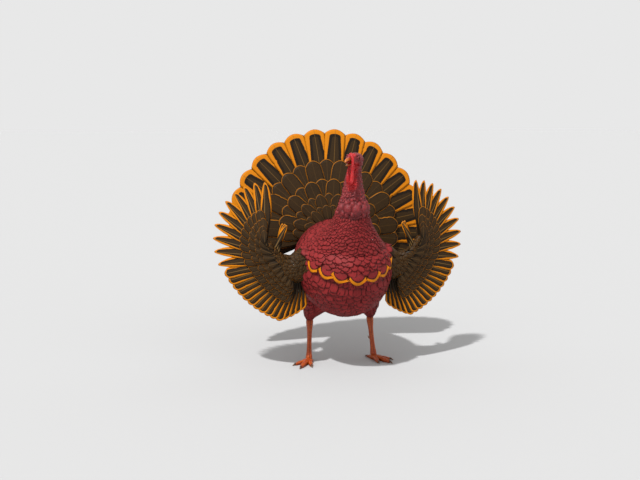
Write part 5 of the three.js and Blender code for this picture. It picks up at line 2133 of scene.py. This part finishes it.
@dataclass
class Head:
    """The pieces that the bare head carries: bill, tongue, snood, dewlap, eyes and bristles."""

    bill_root: float = 30
    nostril: tuple[float, float] = (50, 1)  # forward and up

    def bill_half(self, length: float, half_width: float, above: float, below: float, tilt: float,
                  lift: float, hook: float) -> Form:
        """Returns one half of the bill, from inside the face to its tip, with a ridge along its top and
        growth lines.

        Args:
            length: Its length in millimetres.
            half_width: Half its width at the face.
            above: Its height over its line.
            below: Its depth under it.
            tilt: How many degrees it points down.
            lift: How high over the middle of the skull it begins.
            hook: How far its tip bends down.

        Returns:
            The closed half.
        """
        slope = math.tan(math.radians(tilt))

        def at(share: float, sag: float) -> Array:
            """Returns a point of the half's spine."""
            return head_point(self.bill_root + length * share, 0, lift - slope * length * share - sag)

        def relief(share: Array, angle: Array) -> Array:
            """Returns the growth lines and the ridge along the top."""
            ridge = 0.5 * np.exp(-((((angle - math.pi / 2 + math.pi) % (2 * math.pi)) - math.pi) / 0.35) ** 2)
            return (ridge + 0.12 * np.sin(share * 46 + 1.5 * np.sin(3 * angle))) * (1 - share)

        spine = [at(0, 0), at(0.35, 0), at(0.7, hook * 0.25), at(0.9, hook * 0.62), at(1, hook)]
        rows = [
            [0, half_width, above, below],
            [0.4, half_width * 0.86, above * 0.9, below * 0.9],
            [0.75, half_width * 0.56, above * 0.66, below * 0.6],
            [1, half_width * 0.16, above * 0.2, below * 0.2],
        ]
        return Limb(spine, rows, sides=56, steps=64, across=-HEAD_LEFT, dome=(0.1, 0.1), relief=relief).form()

    def with_nostrils(self, form: Form) -> Form:
        """Returns the upper bill with its nostrils pressed in under a raised lip.

        Args:
            form: The upper bill.

        Returns:
            The bill with its new points.
        """
        away = (form.points - head_point(self.nostril[0], 0, self.nostril[1])) / MM
        forward, up, left = -(away @ HEAD_BACK), away @ HEAD_UP, away @ HEAD_LEFT
        radius = np.sqrt((forward / 4.6) ** 2 + ((up - 0.12 * forward) / 1.5) ** 2)
        lip = 0.7 * np.exp(-(((radius - 1.7) / 0.5) ** 2)) * (up > 0)
        depth = (-2.3 * np.exp(-(radius**2)) + lip) * np.sign(left) * smoothstep(2, 5, np.abs(left))
        return Form(form.points + depth[:, None] * HEAD_LEFT * MM, form.faces, form.maps)

    def tongue(self) -> Form:
        """Returns the tongue, grooved along its middle."""
        spine = head_line((38, 0, -9.5), (50, 0, -12.5), (61, 0, -15))
        limb = Limb(spine, [[0, 6, 3], [0.6, 5, 2], [1, 2, 1]], sides=36, steps=30, across=-HEAD_LEFT,
                    relief=lambda s, a: -0.7 * np.exp(-(((a - math.pi / 2) / 0.4) ** 2)))
        # a little painted shade over the tongue
        return with_skin_maps(limb.form(), bare=1, painted_shade=0.1, red=1)

    def snood(self) -> Form:
        """Returns the long wrinkled snood, which rises from the forehead and hangs past the bill."""
        spine = head_line((24, 0, 14), (38, 2, 17.5), (48, 9, 14.5), (53, 17, 2), (53, 19, -22),
                          (51, 18, -50), (51, 17, -76), (52, 17, -94))
        rows = [[0, 8, 7], [0.15, 6.6, 6], [0.4, 5.2, 5.2], [0.7, 6, 6], [0.92, 6.8, 6.4], [1, 5, 5]]

        def relief(share: Array, angle: Array) -> Array:
            """Returns the rings of folds that cross it.

            Args:
                share: Shares of its length.
                angle: Angles round it.

            Returns:
                Millimetres outward.
            """
            rings = np.sin(share * 168 + 1.3 * np.sin(angle * 2 + share * 9) + 2.2 * np.sin(share * 21))
            uneven = 0.6 + 0.4 * np.sin(angle + share * 30)
            return 0.55 * rings * uneven + 0.3 * np.sin(5 * angle + share * 25)

        form = Limb(spine, rows, sides=40, steps=190, across=HEAD_LEFT, relief=relief).form()
        # painted shade in the hollows between its rings
        return with_skin_maps(form, bare=1, painted_shade=0.7 * hollows(form, 5, 0.4), red=1)

    def wattle(self) -> Form:
        """Returns the dewlap, a soft crumpled flap under the throat."""
        spine = head_line((10, 0, -16), (22, -1, -40), (27, -2, -68), (27, -2, -98))
        rows = [[0, 11, 24], [0.3, 8, 26], [0.65, 9, 25], [0.88, 10, 19], [1, 7, 10]]

        def relief(share: Array, angle: Array) -> Array:
            """Returns its lengthwise pleats and the lumps between them."""
            pleats = 1.1 * np.sin(angle * 3 + share * 5) + 0.8 * np.sin(angle * 9 + 7 * np.sin(share * 7))
            return pleats + 0.7 * np.sin(share * 60 + 3 * np.sin(angle * 2)) * np.sin(angle * 5 + share * 11)

        form = Limb(spine, rows, sides=80, steps=96, across=HEAD_LEFT, dome=(0.1, 0.16), relief=relief).form()
        normals = point_normals(form)
        lumps = 0.9 * grain(form.points, 6, 2) + 0.4 * grain(form.points, 2.8, 4)
        made = Form(form.points + normals * lumps[:, None] * MM, form.faces, form.maps)
        # painted shade in the hollows between its pleats and lumps
        return with_skin_maps(made, bare=1, painted_shade=0.55 * hollows(made, 6, 0.8), red=1)

    def eye(self, side: int) -> Form:
        """Returns one globe with the clear swell of its cornea, and the map "gaze" over it.

        Args:
            side: -1 for his right, 1 for his left.

        Returns:
            The globe.
        """
        axes = np.stack([HEAD_BACK, HEAD_UP, side * HEAD_LEFT])
        globe = ball(vec(0, 0, 0), (EYE_RADIUS, EYE_RADIUS, EYE_RADIUS), None, 64)
        radius = np.hypot(globe.points[:, 0], globe.points[:, 1])
        front = globe.points[:, 2] > 0
        swell = 0.75 * MM * (1 - smoothstep(3.2 * MM, 5.6 * MM, radius)) * front
        shaped = globe.points + unit(globe.points) * swell[:, None]
        angle = np.abs(np.arctan2(globe.points[:, 1], globe.points[:, 0]))
        seen = np.where(front, radius, 9 * MM)  # a radius past the iris, for the back of the globe
        gaze = np.stack([seen, angle], axis=1)
        return outward(Form(eye_middle(side) + shaped @ axes, globe.faces, {"gaze": gaze}))

    def bristles(self, skin: Skin) -> Form:
        """Returns the sparse hair-like feathers of the bare neck and head.

        Args:
            skin: The skin that they grow from.

        Returns:
            The bristles as one form.
        """
        draw = np.random.default_rng(77)
        points, normals = skin.head.points, point_normals(skin.head)
        above = skin.above_neck_cut(points)
        eye = min_distance(points, [eye_middle(side) for side in SIDES.values()])
        bill = min_distance(points, [head_point(46, 0, -4)])
        usable = np.flatnonzero((above > -8) & (eye > 9 * MM) & (bill > 22 * MM))
        chance = np.clip(1.6 - above[usable] / 130, 0.25, 1.6)
        pick = draw.choice(usable, size=420, replace=False, p=chance / chance.sum())
        root, look = points[pick], normals[pick]
        down = unit(vec(0, 0.35, -1)[None] + draw.normal(0, 0.3, size=(len(pick), 3)))
        along = unit(down - dot(down, look) * look + 0.9 * look)
        length = draw.uniform(6, 13, size=len(pick)) * MM
        centres, fronts = curled(root - look * 0.5 * MM, along, look, length, 55.0, 6)
        width = np.full(len(pick), 0.45 * MM)
        return Feathers(centres, fronts, length, width, Cut.SLIM, columns=3, camber=0.02, ridge=0.1, seed=78,
                        patches=unwrapped(root, 2)).form()

    def pieces(self, skin: Skin) -> list[Piece]:
        """Returns the head's own pieces.

        Args:
            skin: The skin that the bristles grow from.

        Returns:
            The pieces.
        """
        upper = self.bill_half(length=52, half_width=12.5, above=10.5, below=3.6, tilt=4, lift=-2, hook=10)
        lower = self.bill_half(length=42, half_width=11, above=2.2, below=6, tilt=21, lift=-12, hook=-1)
        made = [
            Piece("bill_upper_horn", self.with_nostrils(upper), BILL_HORN, "bill_horn", ("bill_upper",)),
            Piece("bill_lower_horn", lower, BILL_HORN, "bill_horn", ("bill_lower",)),
            Piece("tongue_flesh", self.tongue(), SKIN, "tongue", ("tongue",)),
            Piece("snood_flesh", self.snood(), SKIN, "red_flesh", ("snood",)),
            Piece("dewlap_flesh", self.wattle(), SKIN, "red_flesh", ("wattle",)),
            Piece("head_bristles", self.bristles(skin), DOWN_FEATHER, "body_plumage"),
        ]
        for word, side in SIDES.items():
            made.append(Piece(f"eye_{word}_globe", self.eye(side), EyeFinish(), "eye", (f"eye_{word}",)))
        return made


def min_distance(points: Array, centres: list[Array]) -> Array:
    """Returns each point's distance to the nearest of a few centres."""
    return np.min([np.linalg.norm(points - centre, axis=1) for centre in centres], axis=0)


# --- Legs ---

@dataclass(frozen=True)
class Toe:
    """One toe: its turn from straight ahead in degrees, and its sizes in millimetres."""

    name: str
    turn: float
    length: float
    half: float
    rise: float


TOES = (Toe("inner", -30, 66, 8.4, 13), Toe("middle", 0, 92, 9, 14), Toe("outer", 32, 70, 8, 13),
        Toe("hind", 176, 40, 6.4, 17))


@dataclass
class Leg:
    """One bare shank with its foot, claws and spur, scaled all over."""

    side: int
    word: str
    turn_out: float = 32  # degrees
    scutes: int = 17
    toe_plate: float = 5.2
    claw_length: float = 17
    claw_root: float = 9  # how far inside the toe the claw begins

    def plates(self, share: Array, angle: Array, count: float, middle: float, width: float) -> Array:
        """Returns overlapping plates down one face of a limb, and small round scales over the rest.

        Args:
            share: Shares along the limb.
            angle: Angles round it.
            count: How many plates in the row.
            middle: The angle of the middle of the row.
            width: Half the angle that the row covers.

        Returns:
            How high each point stands, from 0 in the joints to 1 on a plate's lip.
        """
        off = (angle - middle + math.pi) % (2 * math.pi) - math.pi
        column = (off > 0) * 0.5
        step = (share * count + column) % 1
        lip = 0.86  # the share of a plate's length where it stands highest
        plate = np.where(step < lip, 0.35 + 0.65 * step / lip, (1 - step) / (1 - lip))
        seam = smoothstep(0.03, 0.16, np.abs(off))
        row = 1 - smoothstep(width - 0.18, width, np.abs(off))
        around = 13
        small = 0.5 + 0.5 * np.cos(share * count * 2 * math.pi * 1.6) * np.cos(angle * around / 2)
        return row * plate * seam + (1 - row) * 0.6 * np.sqrt(np.abs(small))

    def scaled(self, limb: Limb, count: float, middle: float, width: float, height: float,
               swell: Callable[[Array], Array] | None = None) -> Form:
        """Returns a limb with plates raised on it, and the map "relief" over it.

        Args:
            limb: The smooth limb.
            count: How many plates in the row.
            middle: The angle of the middle of the row.
            width: Half the angle that the row covers.
            height: How far the plates stand out, in millimetres.
            swell: The swelling of its joints, by share, in millimetres.

        Returns:
            The scaled limb.
        """
        def relief(share: Array, angle: Array) -> Array:
            """Returns the plates, and the swelling of the joints."""
            joints = swell(share) if swell else 0
            return height * self.plates(share, angle, count, middle, width) + joints

        limb.relief = relief
        form = limb.form()
        share, angle = form.maps["place"].T
        stands = self.plates(share, angle, count, middle, width)
        return Form(form.points, form.faces, {"relief": np.stack([stands, share], axis=1)})

    def shank(self) -> Form:
        """Returns the bare shank from inside the thigh's cuff down into the foot."""
        top, foot = ankle(self.side), foot_middle(self.side)
        low, high = lerp(top, foot, 0.7), lerp(top, foot, 0.3)
        spine = [top + vec(0, 0, 12) * MM, high, low, foot + vec(0, 1, -2) * MM]
        rows = [[0, 13, 13], [0.1, 14, 15], [0.35, 9.5, 11], [0.75, 9.5, 11], [0.95, 13, 14], [1, 12, 13]]
        limb = Limb(spine, rows, sides=56, steps=210)
        return self.scaled(limb, self.scutes, middle=-math.pi / 2, width=1.15, height=1.5)

    def heading(self, toe: Toe) -> Array:
        """Returns the way a toe points on the floor."""
        turn = self.side * math.radians(self.turn_out + toe.turn)
        return vec(math.sin(turn), -math.cos(turn), 0)

    def toe_point(self, toe: Toe, reach: float, height: float) -> Array:
        """Returns a point above a toe's line, by its reach from the middle of the foot and its height."""
        point = foot_middle(self.side) + self.heading(toe) * reach * MM
        return vec(point[0], point[1], height * MM)

    def toe(self, toe: Toe) -> Form:
        """Returns one toe, plated above and padded below.

        Args:
            toe: The toe's sizes.

        Returns:
            The closed toe.
        """
        spine = [
            self.toe_point(toe, 0, toe.rise),
            self.toe_point(toe, 0.35 * toe.length, toe.half + 1.4),
            self.toe_point(toe, 0.7 * toe.length, 0.9 * toe.half - 0.9),
            self.toe_point(toe, toe.length, 0.6 * toe.half - 0.4),
        ]
        shape = ((0, 1.25, 1.2), (0.5, 1, 1), (0.85, 0.84, 0.86), (1, 0.6, 0.6))
        rows = [[share, toe.half * wide, toe.half * tall] for share, wide, tall in shape]
        along = self.heading(toe)
        limb = Limb(spine, rows, sides=44, steps=110, across=vec(-along[1], along[0], 0), dome=(0.1, 0.08))
        over = np.cross(limb.across, along)[2]
        top = math.pi / 2 if over > 0 else -math.pi / 2
        plated = self.scaled(limb, toe.length / self.toe_plate, middle=top, width=1.2, height=0.8,
                             swell=lambda share: 0.7 * np.cos(share * 6 * math.pi))
        return self.on_floor(plated)

    def on_floor(self, form: Form) -> Form:
        """Returns a form with whatever would pass the floor flattened on it."""
        points = np.column_stack([form.points[:, :2], np.maximum(form.points[:, 2], 0)])
        return Form(points, form.faces, form.maps)

    def pad(self) -> Form:
        """Returns the pad where the toes meet, pebbled with small round scales."""
        middle = vec(*foot_middle(self.side)[:2], 9 * MM)
        form = ball(middle, (17, 17, 12), None, 96)
        away = unit(form.points - middle)
        turn, height = np.arctan2(away[:, 1], away[:, 0]), np.arcsin(away[:, 2])
        stands = 0.6 * np.sqrt(0.5 + 0.5 * np.cos(24 * height) * np.cos(14 * turn))
        points = form.points + away * stands[:, None] * MM
        return self.on_floor(Form(points, form.faces, {"relief": np.stack([stands, stands], axis=1)}))

    def claw(self, toe: Toe) -> Form:
        """Returns one curved claw.

        Args:
            toe: The toe that carries it.

        Returns:
            The closed claw.
        """
        reach = toe.length - self.claw_root
        spine = [
            self.toe_point(toe, reach, 0.7 * toe.half),
            self.toe_point(toe, reach + self.claw_length * 0.5, 0.75 * toe.half + 1),
            self.toe_point(toe, reach + self.claw_length, 0.5 * toe.half),
            self.toe_point(toe, reach + self.claw_length + 6, 1.2),
        ]
        along = self.heading(toe)
        rows = [[0, 4.6, 4.8], [0.5, 3.6, 3.8], [0.85, 1.8, 2], [1, 0.7, 0.8]]
        limb = Limb(spine, rows, sides=24, steps=28, across=vec(-along[1], along[0], 0),
                    relief=lambda share, angle: 0.12 * np.sin(angle * 9 + share * 4))
        return self.on_floor(limb.form())

    def spur(self) -> Form:
        """Returns the horn spur on the inner back of the shank."""
        root = lerp(ankle(self.side), foot_middle(self.side), 0.55)
        spine = [root + vec(-self.side * 2, 2, 0) * MM, root + vec(-self.side * 7, 15, 1) * MM,
                 root + vec(-self.side * 10, 27, 7) * MM]
        return Limb(spine, [[0, 6, 6], [0.5, 4.4, 4.4], [1, 1, 1]], sides=28, steps=30,
                    relief=lambda share, angle: 0.15 * np.sin(share * 70)).form()

    def pieces(self) -> list[Piece]:
        """Returns the pieces of the leg below its feathers."""
        foot = joined([self.pad(), *(self.toe(toe) for toe in TOES)])
        word = self.word
        made = [
            Piece(f"shank_{word}_scales", self.shank(), LEG_SCALE, "leg_scale", (f"shank_{word}",)),
            Piece(f"foot_{word}_scales", foot, LEG_SCALE, "leg_scale", (f"foot_{word}",)),
            Piece(f"spur_{word}_horn", self.spur(), SPUR_HORN, "claw_horn", (f"spur_{word}",)),
        ]
        for toe in TOES:
            made.append(Piece(f"claw_{word}_{toe.name}_horn", self.claw(toe), CLAW_HORN, "claw_horn",
                              (f"claw_{word}_{toe.name}",)))
        return made


# --- Studio ---

@dataclass
class Studio:
    """The plain pale floor, the soft light and the camera, with lengths in metres and angles in degrees."""

    azimuth: float = -12
    elevation: float = 8
    distance: float = 3.6
    field_of_view: float = 40
    aim: tuple[float, float, float] = (-0.084, 0.0, 0.504)
    background: str = "#E8E8E8"
    key_strength: float = 3.63
    key_spread: float = 2.5  # softens the edge of the shadow
    key_toward: tuple[float, float, float] = (0.42, 0.42, -1.0)
    half_floor: float = 60

    def floor(self) -> None:
        """Lays the floor."""
        corners = np.array([[-1, -1, 0], [1, -1, 0], [1, 1, 0], [-1, 1, 0]]) * self.half_floor
        mesh = make_mesh("studio_floor", Form(corners, [np.array([[0, 1, 2, 3]])]))
        made = bpy.data.objects.new("studio_floor", mesh)
        made.data.materials.append(FloorFinish().material())
        bpy.context.scene.collection.objects.link(made)

    def light(self) -> None:
        """Hangs one broad soft key from the upper left front, over an even pale surround."""
        world = bpy.data.worlds.new("pale_surround")
        bpy.context.scene.world = world
        world.use_nodes = True
        back = world.node_tree.nodes["Background"]
        back.inputs["Color"].default_value = linear(self.background)
        back.inputs["Strength"].default_value = 1.0
        key = bpy.data.lights.new("key", "SUN")
        key.energy = self.key_strength
        key.angle = math.radians(self.key_spread)
        lamp = bpy.data.objects.new("key", key)
        lamp.rotation_euler = Vector(self.key_toward).to_track_quat("-Z", "Y").to_euler()
        bpy.context.scene.collection.objects.link(lamp)

    def camera(self) -> None:
        """Sets up the camera."""
        lens = bpy.data.cameras.new("camera")
        lens.sensor_fit = "HORIZONTAL"
        lens.angle = math.radians(self.field_of_view)
        lens.clip_end = 200
        made = bpy.data.objects.new("camera", lens)
        az, el = math.radians(self.azimuth), math.radians(self.elevation)
        back = Vector((math.sin(az) * math.cos(el), -math.cos(az) * math.cos(el), math.sin(el)))
        made.location = Vector(self.aim) + back * self.distance
        made.rotation_euler = (-back).to_track_quat("-Z", "Y").to_euler()
        bpy.context.scene.collection.objects.link(made)
        bpy.context.scene.camera = made

    def set_up(self) -> None:
        """Lays the floor, hangs the light and sets up the camera."""
        self.floor()
        self.light()
        self.camera()
        bpy.context.scene.view_settings.view_transform = "Standard"


def main() -> None:
    """Builds the studio and the bird, piece by piece."""
    logging.basicConfig(level=logging.INFO, format="%(message)s")
    Studio().set_up()
    skin = Skin()
    skin.piece().show()
    coat = Coat(skin)
    made = [*coat.pieces(), coat.band.piece(coat), *Tail().pieces(), *Head().pieces(skin)]
    for word, side in SIDES.items():
        made += [*Wing(side, word).pieces(), *Leg(side, word).pieces()]
    for piece in made:
        piece.show()


if __name__ == "__main__":
    main()
